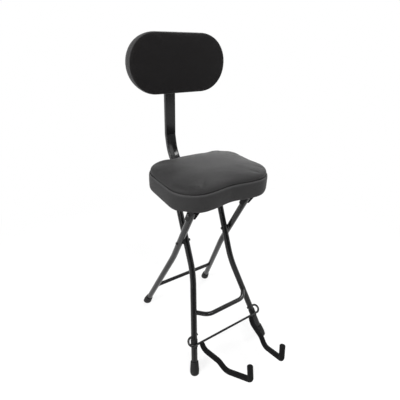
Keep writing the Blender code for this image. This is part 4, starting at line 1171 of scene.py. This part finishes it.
LEG_STEP = math.radians(1.0)
LEG_OVERLAP = 0.001
LEG_SIDES = 32
WELD_SIDES = 10
TOP_TUBE_EDGE = 0.0012
TUBE_GAP = 0.0002
FOOT_SOCKET = 0.004
FOOT_ROUNDING = (0.007, 0.010, 0.0012, 0.0004, 0.0004)
SLEEVE_OVERLAP = 0.001
SLEEVE_ROUNDING = (0.0008, 0.0008)


class CHAIR_OT_legs(bpy.types.Operator):
    """Model the four bent leg tubes and the tube under the seat"""

    bl_idname = "guitar_chair.legs"
    bl_label = "Legs"

    def execute(self, context):
        sizes = context.scene.chair_frame
        radius = sizes.leg_diameter / 2
        lean = math.atan(REAR_SLOPE)
        rear_top = SEAT_HINGE.z + sizes.hinge_overrun * math.cos(lean)
        front_top = sizes.top_tube_height - LEG_OVERLAP
        kinds = (
            ("rear", rear_point, (sizes.leg_end, sizes.rear_bend_height, rear_top)),
            ("front", front_point, (sizes.leg_end, sizes.front_bend_height, front_top)),
        )
        for name, side in SIDES:
            for kind, point, heights in kinds:
                corners = [mirrored(point(sizes, height), side) for height in heights]
                leg = tube(rounded_path(corners, (sizes.leg_bend,), LEG_STEP), radius, sides=LEG_SIDES)
                node = f"{kind}_leg_{name}"
                dress(leg, node + "_tube", kind + "_frame", "black_paint", [node])
        top = front_point(sizes, sizes.top_tube_height)
        half = sizes.front_half + radius
        ends = [Vector((half, top.y, top.z)), Vector((-half, top.y, top.z))]
        pieces = [tube(ends, radius, sides=LEG_SIDES)]
        edit(pieces[0])
        pick("EDGE", lambda item: all(same(abs(vertex.co.x), half) for vertex in item.verts))
        bevel_edges(TOP_TUBE_EDGE, 3)
        for _, side in SIDES:
            start = mirrored(top, side)
            along = (mirrored(front_point(sizes, CROSSING.z), side) - start).normalized()
            line = weld_path(start, along, radius, ends[0], ends[1], radius)
            pieces.append(tube(line, sizes.weld_radius, cyclic=True, sides=WELD_SIDES))
        dress(joined(pieces), "top_tube_welded", "front_frame", "black_paint", ["front_top_tube"])
        return {"FINISHED"}


class CHAIR_OT_bars(bpy.types.Operator):
    """Model the footrest and the rear cross bar with their welds"""

    bl_idname = "guitar_chair.bars"
    bl_label = "Footrest and Bar"

    def execute(self, context):
        sizes = context.scene.chair_frame
        join = front_point(sizes, sizes.footrest_height)
        reach, rise = sizes.footrest_reach, sizes.footrest_rise
        corner = Vector((sizes.footrest_span / 2, join.y - reach, join.z + rise))
        corners = [join, corner, mirrored(corner, -1), mirrored(join, -1)]
        path = rounded_path(corners, (sizes.footrest_bend, sizes.footrest_bend))
        foot, bend = front_point(sizes, 0.0), front_point(sizes, sizes.front_bend_height)
        bar = self.welded(sizes, path, sizes.footrest_diameter / 2, foot, bend)
        dress(bar, "footrest_bar", "front_frame", "black_paint", ["footrest"])
        end = rear_point(sizes, sizes.rear_bar_height)
        foot, bend = rear_point(sizes, 0.0), rear_point(sizes, sizes.rear_bend_height)
        bar = self.welded(sizes, [end, mirrored(end, -1)], sizes.rear_bar_diameter / 2, foot, bend)
        dress(bar, "rear_bar", "rear_frame", "black_paint", ["rear_cross_bar"])
        return {"FINISHED"}

    def welded(self, sizes, path, radius, foot, bend):
        """A bar between both legs of a pair with a weld bead at each end."""
        pieces = [tube(path, radius)]
        for (_, side), point, towards in zip(SIDES, (path[0], path[-1]), (path[1], path[-2])):
            along = (towards - point).normalized()
            start, end = mirrored(foot, side), mirrored(bend, side)
            line = weld_path(point, along, radius, start, end, sizes.leg_diameter / 2)
            pieces.append(tube(line, sizes.weld_radius, cyclic=True, sides=WELD_SIDES))
        return joined(pieces)


class CHAIR_OT_feet(bpy.types.Operator):
    """Model the rubber feet and the rubber sleeves under the cradle's rod"""

    bl_idname = "guitar_chair.feet"
    bl_label = "Feet and Sleeves"

    def execute(self, context):
        sizes = context.scene.chair_frame
        inner = sizes.leg_diameter / 2 + TUBE_GAP
        corners = (
            (0.0, -sizes.foot_depth),
            (sizes.foot_toe, -sizes.foot_depth * 0.8),
            (sizes.foot_radius, sizes.foot_widest),
            (sizes.foot_rim, sizes.foot_height),
            (inner, sizes.foot_height - TUBE_GAP),
            (inner, sizes.foot_height - FOOT_SOCKET),
            (0.0, sizes.foot_height - FOOT_SOCKET),
        )
        foot = turned(profile_of(corners, FOOT_ROUNDING))
        for kind, point in (("rear", rear_point), ("front", front_point)):
            for name, side in SIDES:
                floor = mirrored(point(sizes, 0.0), side)
                upward = mirrored(point(sizes, sizes.leg_end), side) - floor
                cap = aimed(copied(foot), floor, upward)
                edit(cap)
                bpy.ops.mesh.bisect(
                    plane_co=(0, 0, 0),
                    plane_no=DOWN,
                    clear_outer=True,
                    use_fill=True,
                    threshold=DOUBLE,
                )
                tidy_mesh(cap)
                node = f"{kind}_foot_{name}"
                dress(cap, node + "_cap", kind + "_frame", "black_rubber", [node], smooth=50.0)
        bpy.data.objects.remove(foot)
        self.sleeves(sizes, context.scene.chair_cradle)
        return {"FINISHED"}

    def sleeves(self, sizes, cradle):
        _, rod_height = rod_line(sizes, cradle)
        stand_off = sizes.sleeve_radius + cradle.rest_gap + cradle.rod_diameter / 2
        touch = front_point(sizes, rod_height - stand_off * math.sin(math.atan(FRONT_SLOPE)))
        along = front_point(sizes, 0.0) - touch
        inner = sizes.leg_diameter / 2 + TUBE_GAP - SLEEVE_OVERLAP
        half = sizes.sleeve_length / 2
        outer = sizes.sleeve_radius
        corners = ((inner, -half), (outer, -half), (outer, half), (inner, half))
        ring = turned(profile_of(corners, SLEEVE_ROUNDING))
        places = [
            ("rest_sleeve_" + name, "front_frame", mirrored(touch, side), mirrored(along, side))
            for name, side in SIDES
        ]
        place_copies(ring, places, "black_rubber", "_rubber", smooth=50.0)


# Fasteners

BOLT_ROUNDING = (0.002, 0.0012, 0.0003, 0.0002, 0.0006)
SCREW_ROUNDING = (0.0014, 0.0008, 0.0002, 0.0002, 0.0004)
PIN_ROUNDING = (0.0022, 0.0003, 0.0002, 0.0008)
SPACER_ROUNDING = (0.0006, 0.0006)
SOCKET_WIDTH = 0.46  # part of the head's radius
SOCKET_DEPTH = 0.55  # part of the head's height
SLOT_WIDTH = 0.22  # part of the head's radius
NUT_FLAT = 0.34  # part of the nut's radius
NUT_EDGE = 0.0006
PIN_HEAD = 0.003
SCREW_SHANK = 0.006
SCREW_STEPS = 28


def headed(head_radius, head_height, flat, wall, radius, shank):
    """Profile of a fastener with its head below the origin and its shank along its own Z.

    flat is the part of the head's radius that is flat, wall the part of its height that is upright."""
    return (
        (0.0, -head_height),
        (head_radius * flat, -head_height),
        (head_radius, -head_height * wall),
        (head_radius, 0.0),
        (radius, 0.0),
        (radius, shank),
        (0.0, shank),
    )


def six_sided(radius, height, place):
    """A six-sided prism, its middle at a place."""
    return added(
        bpy.ops.mesh.primitive_cylinder_add, vertices=6, radius=radius, depth=height, location=place
    )


def socket_bolt(radius, head_radius, head_height, shank):
    """A round-headed bolt with a six-sided socket in its head."""
    corners = headed(head_radius, head_height, flat=0.62, wall=0.35, radius=radius, shank=shank)
    bolt = turned(profile_of(corners, BOLT_ROUNDING), FASTENER_STEPS)
    place = (0, 0, -head_height * (1.5 - SOCKET_DEPTH))
    cut(bolt, six_sided(head_radius * SOCKET_WIDTH, head_height, place))
    return bolt


def wood_screw(head_radius, head_height):
    """A pan-headed screw with a crossed slot and a short shank."""
    radius = head_radius / 2
    corners = headed(head_radius, head_height, flat=0.7, wall=0.3, radius=radius, shank=SCREW_SHANK)
    screw = turned(profile_of(corners, SCREW_ROUNDING), SCREW_STEPS)
    for turn in (0.0, math.pi / 2):
        blade = added(bpy.ops.mesh.primitive_cube_add, size=1.0, location=(0, 0, -head_height))
        blade.scale = (head_radius, head_radius * SLOT_WIDTH, head_height)
        blade.rotation_euler = (0, 0, turn)
        settle(blade)
        cut(screw, blade)
    return screw


def hex_nut(radius, height, width):
    """A six-sided nut from the origin up, with bevelled corners, made narrower by a width factor."""
    nut = settle(six_sided(radius, height, (0, 0, height / 2)))
    edit(nut)
    pick("FACE", lambda face: abs(face.normal.z) > 0.9)
    bpy.ops.mesh.inset(thickness=radius * NUT_FLAT)
    leave_edit()
    apply_modifier(nut, "BEVEL", width=NUT_EDGE, segments=3)
    tidy_mesh(nut)
    nut.scale = (width, width, 1.0)
    return settle(nut)


def node_axis(node, axis):
    """Middle of a node's near and far faces along an axis."""
    low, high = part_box(node)
    centre = (low + high) / 2
    reach = abs((high - low).dot(axis)) / 2
    return centre - axis * reach, centre + axis * reach


def pair(prefix, direction):
    """The left and right node of a kind, with a direction that is mirrored on the right."""
    return [(prefix + name, direction * side) for name, side in SIDES]


def places_in(nodes, body, depth=0.0):
    """Places for copies that begin some depth inside their nodes' near faces."""
    return [(node, body, node_axis(node, axis)[0] + axis * depth, axis) for node, axis in nodes]


class CHAIR_OT_bolts(bpy.types.Operator):
    """Model the crossing bolts, back bolts, nuts, spacers and hinge pins"""

    bl_idname = "guitar_chair.bolts"
    bl_label = "Bolts"

    def execute(self, context):
        sizes = context.scene.chair_frame
        back = [("back_bolt_" + name, FORWARD) for name in ("lower", "upper")]
        self.bolts(sizes, pair("crossing_bolt_", -ACROSS), "rear_frame", "black_paint")
        self.bolts(sizes, back, "backrest", "zinc_steel")
        self.nuts(sizes)
        self.spacers(sizes)
        self.pins(sizes)
        return {"FINISHED"}

    def bolts(self, sizes, nodes, body, slot):
        near, far = node_axis(*nodes[0])
        room = sizes.bolt_head_room
        shank = (far - near).length - room
        bolt = socket_bolt(sizes.bolt_diameter / 2, sizes.bolt_head, sizes.bolt_head_height, shank)
        place_copies(bolt, places_in(nodes, body, room), slot, "_socket")

    def nuts(self, sizes):
        low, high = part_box("crossing_nut_left")
        radius = max(high.y - low.y, high.z - low.z) / 2
        height = high.x - low.x
        nut = hex_nut(radius, height, sizes.nut_share)
        places = places_in(pair("crossing_nut_", -ACROSS), "rear_frame")
        place_copies(nut, places, "black_paint", "_hex", smooth=30.0)
        nut = hex_nut(radius, height, 1.0)
        place_copies(nut, places_in([("clamp_nut", DOWN)], "seat"), "zinc_steel", "_hex", smooth=30.0)

    def spacers(self, sizes):
        low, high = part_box("crossing_spacer_left")
        outer = (high.z - low.z) / 2
        thick = high.x - low.x
        inner = sizes.bolt_diameter / 2
        corners = ((inner, 0.0), (outer, 0.0), (outer, thick), (inner, thick))
        ring = turned(profile_of(corners, SPACER_ROUNDING), FASTENER_STEPS)
        places = places_in(pair("crossing_spacer_", ACROSS), "rear_frame")
        place_copies(ring, places, "black_plastic", "_ring")

    def pins(self, sizes):
        low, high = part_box("hinge_pin_left")
        head = (high.z - low.z) / 2
        shank = high.x - low.x - PIN_HEAD
        radius = sizes.bolt_diameter / 2
        corners = (
            (0.0, -PIN_HEAD),
            (head * 0.8, -PIN_HEAD),
            (head, 0.0),
            (radius, 0.0),
            (radius, shank),
            (0.0, shank),
        )
        pin = turned(profile_of(corners, PIN_ROUNDING), FASTENER_STEPS)
        places = places_in(pair("hinge_pin_", -ACROSS), "seat", PIN_HEAD)
        place_copies(pin, places, "black_paint", "_rivet")


class CHAIR_OT_screws(bpy.types.Operator):
    """Model the wood screws under the seat and behind the backrest"""

    bl_idname = "guitar_chair.screws"
    bl_label = "Wood Screws"

    def execute(self, context):
        sizes = context.scene.chair_frame
        depth = sizes.screw_head_height
        nodes = sorted(node for node in SLOTS if "_screw_" in node)
        behind = [(node, FORWARD) for node in nodes if node.startswith("back")]
        below = [(node, UP) for node in nodes if not node.startswith("back")]
        places = places_in(behind, "backrest", depth) + places_in(below, "seat", depth)
        place_copies(wood_screw(sizes.screw_head, depth), places, "zinc_steel", "_head")
        return {"FINISHED"}


# Seat fittings and post

BRACKET_CORNER = 0.0075
BRACKET_FOLD = 0.0022
BRACKET_EDGE = 0.0003
POST_CUTS = 9
KINK_STEPS = 8
BEND_STEPS = 26
POST_END_EDGE = 0.0004
DENT_MARGIN = 0.001
DENT_POWER = 0.7  # the lower, the more suddenly the dent begins and ends
PLUG_HEIGHT = 0.0022
PLUG_EDGE = 0.0014
KNOB_SIDES = 80
KNOB_LOBES = 5
KNOB_RIM = 0.38  # width of the flat rim as a part of the knob's radius
KNOB_EDGE_START = 0.6  # edges outside this part of the radius are rounded
RECESS_SLOPE = 0.0008
RECESS_DEPTH = 0.0012


class CHAIR_OT_brackets(bpy.types.Operator):
    """Model the folded hinge brackets under the seat"""

    bl_idname = "guitar_chair.brackets"
    bl_label = "Hinge Brackets"

    def execute(self, context):
        sizes = context.scene.chair_post
        for name, _ in SIDES:
            node = "seat_bracket_" + name
            low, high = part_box(node)
            sheet = sizes.bracket_sheet
            level = high.z - sheet / 2
            front, rear = self.top_span(node, high.z)
            place = ((low.x + high.x) / 2, (front + rear) / 2, level)
            piece = plate(high.x - low.x - sheet, rear - front, place)
            self.fold_cheeks(piece, low, high, level, sizes)
            piece.data.materials.append(finish("bracket_paint"))
            dress(piece, node + "_folded", "seat", "black_paint", [node], smooth=30.0)
        return {"FINISHED"}

    def top_span(self, node, level):
        """Front and rear edge of a bracket's top plate."""
        vertices = frame["nodes"][node].data.vertices
        depths = [vertex.co.y for vertex in vertices if same(vertex.co.z, level)]
        return min(depths), max(depths)

    def fold_cheeks(self, piece, low, high, level, sizes):
        """Draws both sides of the top plate down and narrows them towards the leg."""
        sheet = sizes.bracket_sheet
        edge = (high.x - low.x - sheet) / 2
        centre = (low.x + high.x) / 2
        edit(piece)
        pick("EDGE", lambda item: same(abs(middle(item).x - centre), edge))
        extrude_edges((0, 0, low.z - level))
        foot_y = REAR_STAND.y + REAR_SLOPE * low.z
        with open_shape() as shape:
            depths = [vertex.co.y for vertex in shape.verts]
            halfway = (min(depths) + max(depths)) / 2
            for vertex in shape.verts:
                if same(vertex.co.z, low.z):
                    away = 1 if vertex.co.y > halfway else -1
                    vertex.co.y = foot_y + away * sizes.bracket_foot / 2
        pick("VERT", lambda vertex: same(vertex.co.z, low.z))
        bevel_points(BRACKET_CORNER, 6)
        pick("EDGE", lambda item: same(middle(item).z, level) and abs(middle(item).x - centre) > edge / 2)
        bevel_edges(BRACKET_FOLD, 4)
        leave_edit()
        apply_modifier(piece, "SOLIDIFY", thickness=sheet, offset=0.0)
        apply_modifier(piece, "BEVEL", width=BRACKET_EDGE, segments=2)
        edit(piece)
        turn_outward()
        leave_edit()


class CHAIR_OT_post(bpy.types.Operator):
    """Model the flat bent post of the backrest and its end plugs"""

    bl_idname = "guitar_chair.post"
    bl_label = "Backrest Post"

    def execute(self, context):
        sizes = context.scene.chair_post
        low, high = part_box("back_post")
        top = high.z
        post_y = high.y - sizes.post_depth / 2
        run_height = low.z + sizes.post_depth / 2
        bend = sizes.post_bend
        kink, tight, run = sizes.post_kink, sizes.post_kink_bend, sizes.post_lean_run
        sine, cosine = math.sin(kink), math.cos(kink)
        start = run_height + bend * (1 - sine) + run * cosine + tight * sine
        bend_y = post_y - tight * (1 - cosine) - run * sine - bend * cosine
        piece = self.section(sizes, (0, post_y, top))
        edit(piece)
        bpy.ops.mesh.delete(type="ONLY_FACE")
        pick("EDGE", lambda item: abs((item.verts[0].co - item.verts[1].co).x) > sizes.post_width / 2)
        bpy.ops.mesh.subdivide(number_cuts=POST_CUTS)
        pick_all()
        extrude_edges((0, 0, start - top))
        bpy.ops.mesh.spin(steps=KINK_STEPS, angle=kink, center=(0, post_y - tight, start), axis=ACROSS)
        extrude_edges((0, -run * sine, -run * cosine))
        centre = Vector((0, bend_y, run_height + bend))
        bpy.ops.mesh.spin(steps=BEND_STEPS, angle=math.pi / 2 - kink, center=centre, axis=ACROSS)
        extrude_edges((0, low.y - centre.y, 0))
        tidy_mesh(piece)
        self.press_mark(piece, sizes, centre)
        edit(piece)
        pick("EDGE", lambda item: any(len(face.verts) > CAP_CORNERS for face in item.link_faces))
        bevel_edges(POST_END_EDGE, 2)
        leave_edit()
        dress(piece, "back_post_tube", "backrest", "black_paint", ["back_post"], smooth=30.0)
        self.plugs(sizes)
        return {"FINISHED"}

    def section(self, sizes, place):
        """The post's rounded section as a flat face."""
        piece = plate(sizes.post_width, sizes.post_depth, place)
        edit(piece)
        bevel_points(sizes.post_corner, 6)
        return piece

    def press_mark(self, piece, sizes, centre):
        """The long dent that the bending press leaves along the inside of the bend."""
        inside = sizes.post_bend - sizes.post_depth / 2 + DENT_MARGIN
        half = sizes.post_width / 2 - sizes.post_corner
        for vertex in piece.data.vertices:
            arm = Vector((0, vertex.co.y - centre.y, vertex.co.z - centre.z))
            turn = (math.atan2(-arm.z, arm.y) - sizes.post_kink) / (math.pi / 2 - sizes.post_kink)
            if arm.length < inside and 0.0 < turn < 1.0 and abs(vertex.co.x) < half:
                share = (1 - (vertex.co.x / half) ** 2) ** 2 * math.sin(math.pi * turn) ** DENT_POWER
                vertex.co += arm.normalized() * sizes.post_dent * share

    def plugs(self, sizes):
        for name, outward in (("top", UP), ("front", FORWARD)):
            node = "post_plug_" + name
            plug = self.section(sizes, (0, 0, 0))
            pick_all()
            extrude((0, 0, PLUG_HEIGHT))
            pick("EDGE", lambda item: all(same(vertex.co.z, PLUG_HEIGHT) for vertex in item.verts))
            bevel_edges(PLUG_EDGE, 4)
            tidy_mesh(plug)
            _, far = node_axis(node, outward)
            turn = Matrix.Identity(4) if name == "top" else Matrix.Rotation(math.pi / 2, 4, "X")
            plug.matrix_world = Matrix.Translation(far - outward * PLUG_HEIGHT) @ turn
            dress(plug, node + "_cap", "backrest", "black_plastic", [node])


class CHAIR_OT_knob(bpy.types.Operator):
    """Model the lobed clamp knob"""

    bl_idname = "guitar_chair.knob"
    bl_label = "Clamp Knob"

    def execute(self, context):
        sizes = context.scene.chair_post
        low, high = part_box("clamp_knob")
        centre = (low + high) / 2
        radius = (high.x - low.x) / 2
        height = high.z - low.z
        circle = bpy.ops.mesh.primitive_circle_add
        knob = added(circle, vertices=KNOB_SIDES, radius=radius, fill_type="NGON")
        edit(knob)
        with open_shape() as shape:
            for vertex in shape.verts:
                turn = math.atan2(vertex.co.y, vertex.co.x)
                vertex.co *= 1 - sizes.knob_lobe / radius * (1 - math.cos(KNOB_LOBES * turn))
        extrude((0, 0, height))
        turn_outward()
        pick("FACE", lambda face: face.normal.z < -0.9)
        bpy.ops.mesh.inset(thickness=radius * KNOB_RIM)
        bpy.ops.mesh.inset(thickness=RECESS_SLOPE, depth=-RECESS_DEPTH)
        pick("EDGE", lambda item: self.on_rim(item, radius * KNOB_EDGE_START))
        bevel_edges(sizes.knob_edge, 4)
        leave_edit()
        knob.location = (centre.x, centre.y, low.z)
        dress(knob, "clamp_knob_lobed", "knob", "black_plastic", ["clamp_knob"], smooth=40.0)
        return {"FINISHED"}

    def on_rim(self, item, radius):
        """Whether an edge is level and lies outside a radius."""
        first, second = item.verts
        return middle(item).xy.length > radius and same(first.co.z, second.co.z)


# Guitar cradle

ROD_STEP = math.radians(6.0)
ROD_SIDES = 20
FOAM_SIDES = 32
HOOK_BENDS = (
    (0.0110, -0.0267, 0.026),
    (0.0838, -0.0225, 0.034),
    (0.1154, -0.0401, 0.034),
    (0.2115, 0.0140, 0.0125),
)
HOOK_TIP = (0.2015, 0.0776)
CORE_START = 0.6  # in radii of the wire
CORE_OVERLAP = 0.012
BEAD_SPAN = (0.5, 1.2)  # in radii of the wire
BEAD_THICKNESS = 0.0012
FOAM_STARTS = (0.0, 0.0008, 0.0024, 0.0044)
FOAM_SHARES = (0.62, 0.80, 0.93, 1.0)  # parts of the foam's radius at those distances
TIP_STEPS = 6
TIP_MOST = 0.25  # largest step inwards as a part of the foam's radius


class CHAIR_OT_cradle(bpy.types.Operator):
    """Model the cradle's wire, hooks and foam sleeves"""

    bl_idname = "guitar_chair.cradle"
    bl_label = "Guitar Cradle"

    def execute(self, context):
        sizes = context.scene.chair_frame
        cradle = context.scene.chair_cradle
        radius = cradle.rod_diameter / 2
        rod_y, rod_height = rod_line(sizes, cradle)
        pivot = front_point(sizes, CRADLE_PIVOT.z)
        loop = math.hypot(rod_y - pivot.y, rod_height - pivot.z) / 2
        out = pivot.x + cradle.rod_stub + loop
        half = [
            Vector((pivot.x - cradle.rod_inner, pivot.y, pivot.z)),
            Vector((out, pivot.y, pivot.z)),
            Vector((out, rod_y, rod_height)),
        ]
        corners = half + [mirrored(point, -1) for point in reversed(half)]
        rod = tube(rounded_path(corners, [loop] * 4, ROD_STEP), radius, sides=ROD_SIDES)
        dress(rod, "cradle_wire", "cradle", "black_paint", ["cradle_rod"])
        for name, side in SIDES:
            self.hook(cradle, self.hook_path(cradle, side, rod_y, rod_height), name)
        return {"FINISHED"}

    def hook_path(self, cradle, side, rod_y, rod_height):
        """Centre line of one hook from the middle of the rod to its tip.

        HOOK_BENDS holds each bend's reach from the rod, its height above the rod and its radius."""
        start = Vector((side * cradle.hook_spacing / 2, rod_y, rod_height))
        along = Vector((-side * math.sin(cradle.hook_toe_in), -math.cos(cradle.hook_toe_in), 0))
        places = [(0.0, 0.0), *(bend[:2] for bend in HOOK_BENDS), HOOK_TIP]
        corners = [start + along * reach + UP * rise for reach, rise in places]
        return rounded_path(corners, [bend[2] for bend in HOOK_BENDS])

    def hook(self, cradle, path, name):
        wire_radius = cradle.rod_diameter / 2
        foam_radius = cradle.foam_diameter / 2
        first = (path[1] - path[0]).normalized()
        last = (path[-1] - path[-2]).normalized()
        start = path[0] + first * (wire_radius * CORE_START)
        end = path[0] + first * (cradle.foam_start + CORE_OVERLAP)
        core = tube([start, end], wire_radius, sides=ROD_SIDES)
        bead = [path[0] + first * wire_radius * share for share in BEAD_SPAN]
        core = joined([core, tube(bead, wire_radius + BEAD_THICKNESS, sides=ROD_SIDES)])
        dress(core, f"hook_core_{name}_wire", "cradle", "black_paint", ["hook_core_" + name])
        run = [path[0] + first * (cradle.foam_start + reach) for reach in FOAM_STARTS]
        run += [*path[1:-1], path[-1] - last * foam_radius]
        foam = tube(run, foam_radius, sides=FOAM_SIDES, shares=FOAM_SHARES)
        self.round_tip(foam, run[-1], last, foam_radius)
        dress(foam, f"hook_foam_{name}_sleeve", "cradle", "hook_foam", ["hook_foam_" + name], smooth=60.0)

    def round_tip(self, foam, end, direction, radius):
        """Draws the closed end out into a dome."""
        edit(foam)
        near = radius * 0.2
        pick("FACE", lambda face: face.normal.dot(direction) > 0.99 and (middle(face) - end).length < near)
        turns = [math.pi / 2 * step / TIP_STEPS for step in range(TIP_STEPS + 1)]
        for before, after in zip(turns, turns[1:]):
            thick = radius * (math.cos(before) - math.cos(after))
            rise = radius * (math.sin(after) - math.sin(before))
            bpy.ops.mesh.inset(thickness=min(thick, radius * TIP_MOST), depth=rise)
        leave_edit()


class CHAIR_OT_carried(bpy.types.Operator):
    """Give the CAD nodes that stay visible their procedural finishes"""

    bl_idname = "guitar_chair.carried"
    bl_label = "Carried Pieces"

    def execute(self, context):
        for name, node in frame["nodes"].items():
            if not node.hide_render:
                node.data.materials.clear()
                node.data.materials.append(finish(SLOTS[name]))
        return {"FINISHED"}


# Stage

PAPER = (0.95, 0.95, 0.95, 1.0)
SHADOW_START = 0.4  # part of the shadows' reach up to which they are full
DARK_SIDE = (-0.56, -0.83, 0.0)  # towards the part of the studio behind the camera
LIGHTS = {
    "key": ((-2.4, -0.2, 1.6), (1.1, 1.1)),
    "high": ((1.8, 0.5, 1.9), (0.6, 0.6)),
    "front": ((0.05, -1.35, 2.3), (1.4, 0.35)),
    "strip": ((-2.0, -1.75, 1.25), (0.3, 0.8)),
    "fill": ((1.9, -1.5, 1.6), (1.6, 1.6)),
    "rear": ((1.9, 2.1, 1.4), (1.6, 1.6)),
}
LIGHTS_AIM = Vector((0, 0, 0.5))
CAMERA_PLACE = (-0.5684, -0.7487, 1.0710)
CAMERA_RIGHT = (0.83675, -0.54700, 0.02605)
CAMERA_UP = (0.23182, 0.39691, 0.88814)
CAMERA_BACK = (-0.4961, -0.7371, 0.4589)
SENSOR_WIDTH = 36.0


class CHAIR_OT_stage(bpy.types.Operator):
    """Set the floor, the lights, the world and the camera"""

    bl_idname = "guitar_chair.stage"
    bl_label = "Stage"

    def execute(self, context):
        stage = context.scene.chair_stage
        context.scene.view_settings.view_transform = "Standard"
        self.floor(stage)
        self.world(context.scene, stage)
        for name, (place, size) in LIGHTS.items():
            light = added(bpy.ops.object.light_add, type="AREA", location=place)
            light.name = name + "_light"
            light.data.shape = "RECTANGLE"
            light.data.size, light.data.size_y = size
            light.data.energy = getattr(stage, name + "_power")
            aim = LIGHTS_AIM - Vector(place)
            light.rotation_euler = aim.to_track_quat("-Z", "Y").to_euler()
        self.camera(context.scene, stage)
        return {"FINISHED"}

    def floor(self, stage):
        floor = added(bpy.ops.mesh.primitive_plane_add, size=stage.floor_size)
        floor.name = "studio_floor"
        material = bpy.data.materials.new("studio_white")
        material.use_nodes = True
        tree = material.node_tree
        tree.nodes.remove(tree.nodes["Principled BSDF"])
        wire = Wire(tree)
        seen = self.seen(wire)
        paper = wire.node("ShaderNodeBsdfDiffuse", None, {"Color": PAPER})
        glow = wire.node("ShaderNodeEmission", None, {"Color": WHITE, "Strength": 1.0})
        where = wire.node("ShaderNodeTexCoord", None, None, "Object")
        far = wire.node("ShaderNodeVectorMath", {"operation": "LENGTH"}, {0: where}, "Value")
        far = far.over(stage.shadow_reach * SHADOW_START, stage.shadow_reach)
        share = seen * (stage.floor_glow + far * (1.0 - stage.floor_glow))
        mixed = wire.node("ShaderNodeMixShader", None, {0: share, 1: paper, 2: glow})
        wire.feed(tree.nodes["Material Output"].inputs["Surface"], mixed)
        floor.data.materials.append(material)

    def seen(self, wire):
        """1 for rays from the camera and for those that metal and glass send on."""
        kinds = ("Is Camera Ray", "Is Glossy Ray", "Is Transmission Ray")
        camera, glossy, sent = [wire.node("ShaderNodeLightPath", None, None, kind) for kind in kinds]
        return wire.maths("MINIMUM", camera + glossy + sent, 1.0)

    def world(self, scene, stage):
        world = bpy.data.worlds.new("studio_world")
        scene.world = world
        world.use_nodes = True
        wire = Wire(world.node_tree)
        seen = self.seen(wire)
        facing = wire.node("ShaderNodeTexCoord", None, None, "Generated")
        product = {"operation": "DOT_PRODUCT"}
        facing = wire.node("ShaderNodeVectorMath", product, {0: facing, 1: DARK_SIDE}, "Value")
        front = facing.over(-0.1, 0.7) * stage.front_shade
        camera = wire.node("ShaderNodeLightPath", None, None, "Is Camera Ray")
        even = (stage.sky + seen * (1.0 - stage.sky)) * (1.0 - front)
        strength = camera + (1.0 - camera) * even
        sky = world.node_tree.nodes["Background"]
        wire.feed(sky.inputs["Color"], WHITE)
        wire.feed(sky.inputs["Strength"], strength)

    def camera(self, scene, stage):
        """Stands where the photograph was taken from."""
        camera = added(bpy.ops.object.camera_add)
        camera.name = "photo_camera"
        camera.data.sensor_fit = "HORIZONTAL"
        camera.data.sensor_width = SENSOR_WIDTH
        camera.data.lens = stage.lens
        turn = Matrix((CAMERA_RIGHT, CAMERA_UP, CAMERA_BACK)).transposed().to_4x4()
        camera.matrix_world = Matrix.Translation(CAMERA_PLACE) @ turn
        scene.camera = camera


class CHAIR_PT_panel(bpy.types.Panel):
    """Lists the pieces of the guitar chair and their sizes"""

    bl_idname = "CHAIR_PT_panel"
    bl_label = "Guitar Chair"
    bl_space_type = "VIEW_3D"
    bl_region_type = "UI"
    bl_category = "Guitar Chair"

    def draw(self, context):
        for operator in OPERATORS:
            self.layout.operator(operator.bl_idname)
        for name, _ in GROUPS:
            group = getattr(context.scene, name)
            column = self.layout.box().column()
            for key in group.__annotations__:
                column.prop(group, key)


OPERATORS = (
    CHAIR_OT_stage,
    CHAIR_OT_legs,
    CHAIR_OT_bars,
    CHAIR_OT_feet,
    CHAIR_OT_bolts,
    CHAIR_OT_screws,
    CHAIR_OT_brackets,
    CHAIR_OT_post,
    CHAIR_OT_knob,
    CHAIR_OT_cradle,
    CHAIR_OT_seat_pad,
    CHAIR_OT_back_pad,
    CHAIR_OT_carried,
)
GROUPS = (
    ("chair_frame", ChairFrameSizes),
    ("chair_pads", ChairPadSizes),
    ("chair_post", ChairPostSizes),
    ("chair_cradle", ChairCradleSizes),
    ("chair_finishes", ChairFinishes),
    ("chair_stage", ChairStage),
)


def register():
    for name, group in GROUPS:
        bpy.utils.register_class(group)
        setattr(bpy.types.Scene, name, bpy.props.PointerProperty(type=group))
    for operator in OPERATORS:
        bpy.utils.register_class(operator)
    bpy.utils.register_class(CHAIR_PT_panel)


def unregister():
    bpy.utils.unregister_class(CHAIR_PT_panel)
    for operator in reversed(OPERATORS):
        bpy.utils.unregister_class(operator)
    for name, group in reversed(GROUPS):
        delattr(bpy.types.Scene, name)
        bpy.utils.unregister_class(group)


def main():
    register()
    bpy.ops.guitar_chair.stage()
    bpy.ops.guitar_chair.legs()
    bpy.ops.guitar_chair.bars()
    bpy.ops.guitar_chair.feet()
    bpy.ops.guitar_chair.bolts()
    bpy.ops.guitar_chair.screws()
    bpy.ops.guitar_chair.brackets()
    bpy.ops.guitar_chair.post()
    bpy.ops.guitar_chair.knob()
    bpy.ops.guitar_chair.cradle()
    bpy.ops.guitar_chair.seat_pad()
    bpy.ops.guitar_chair.back_pad()
    bpy.ops.guitar_chair.carried()


if __name__ == "__main__":
    main()
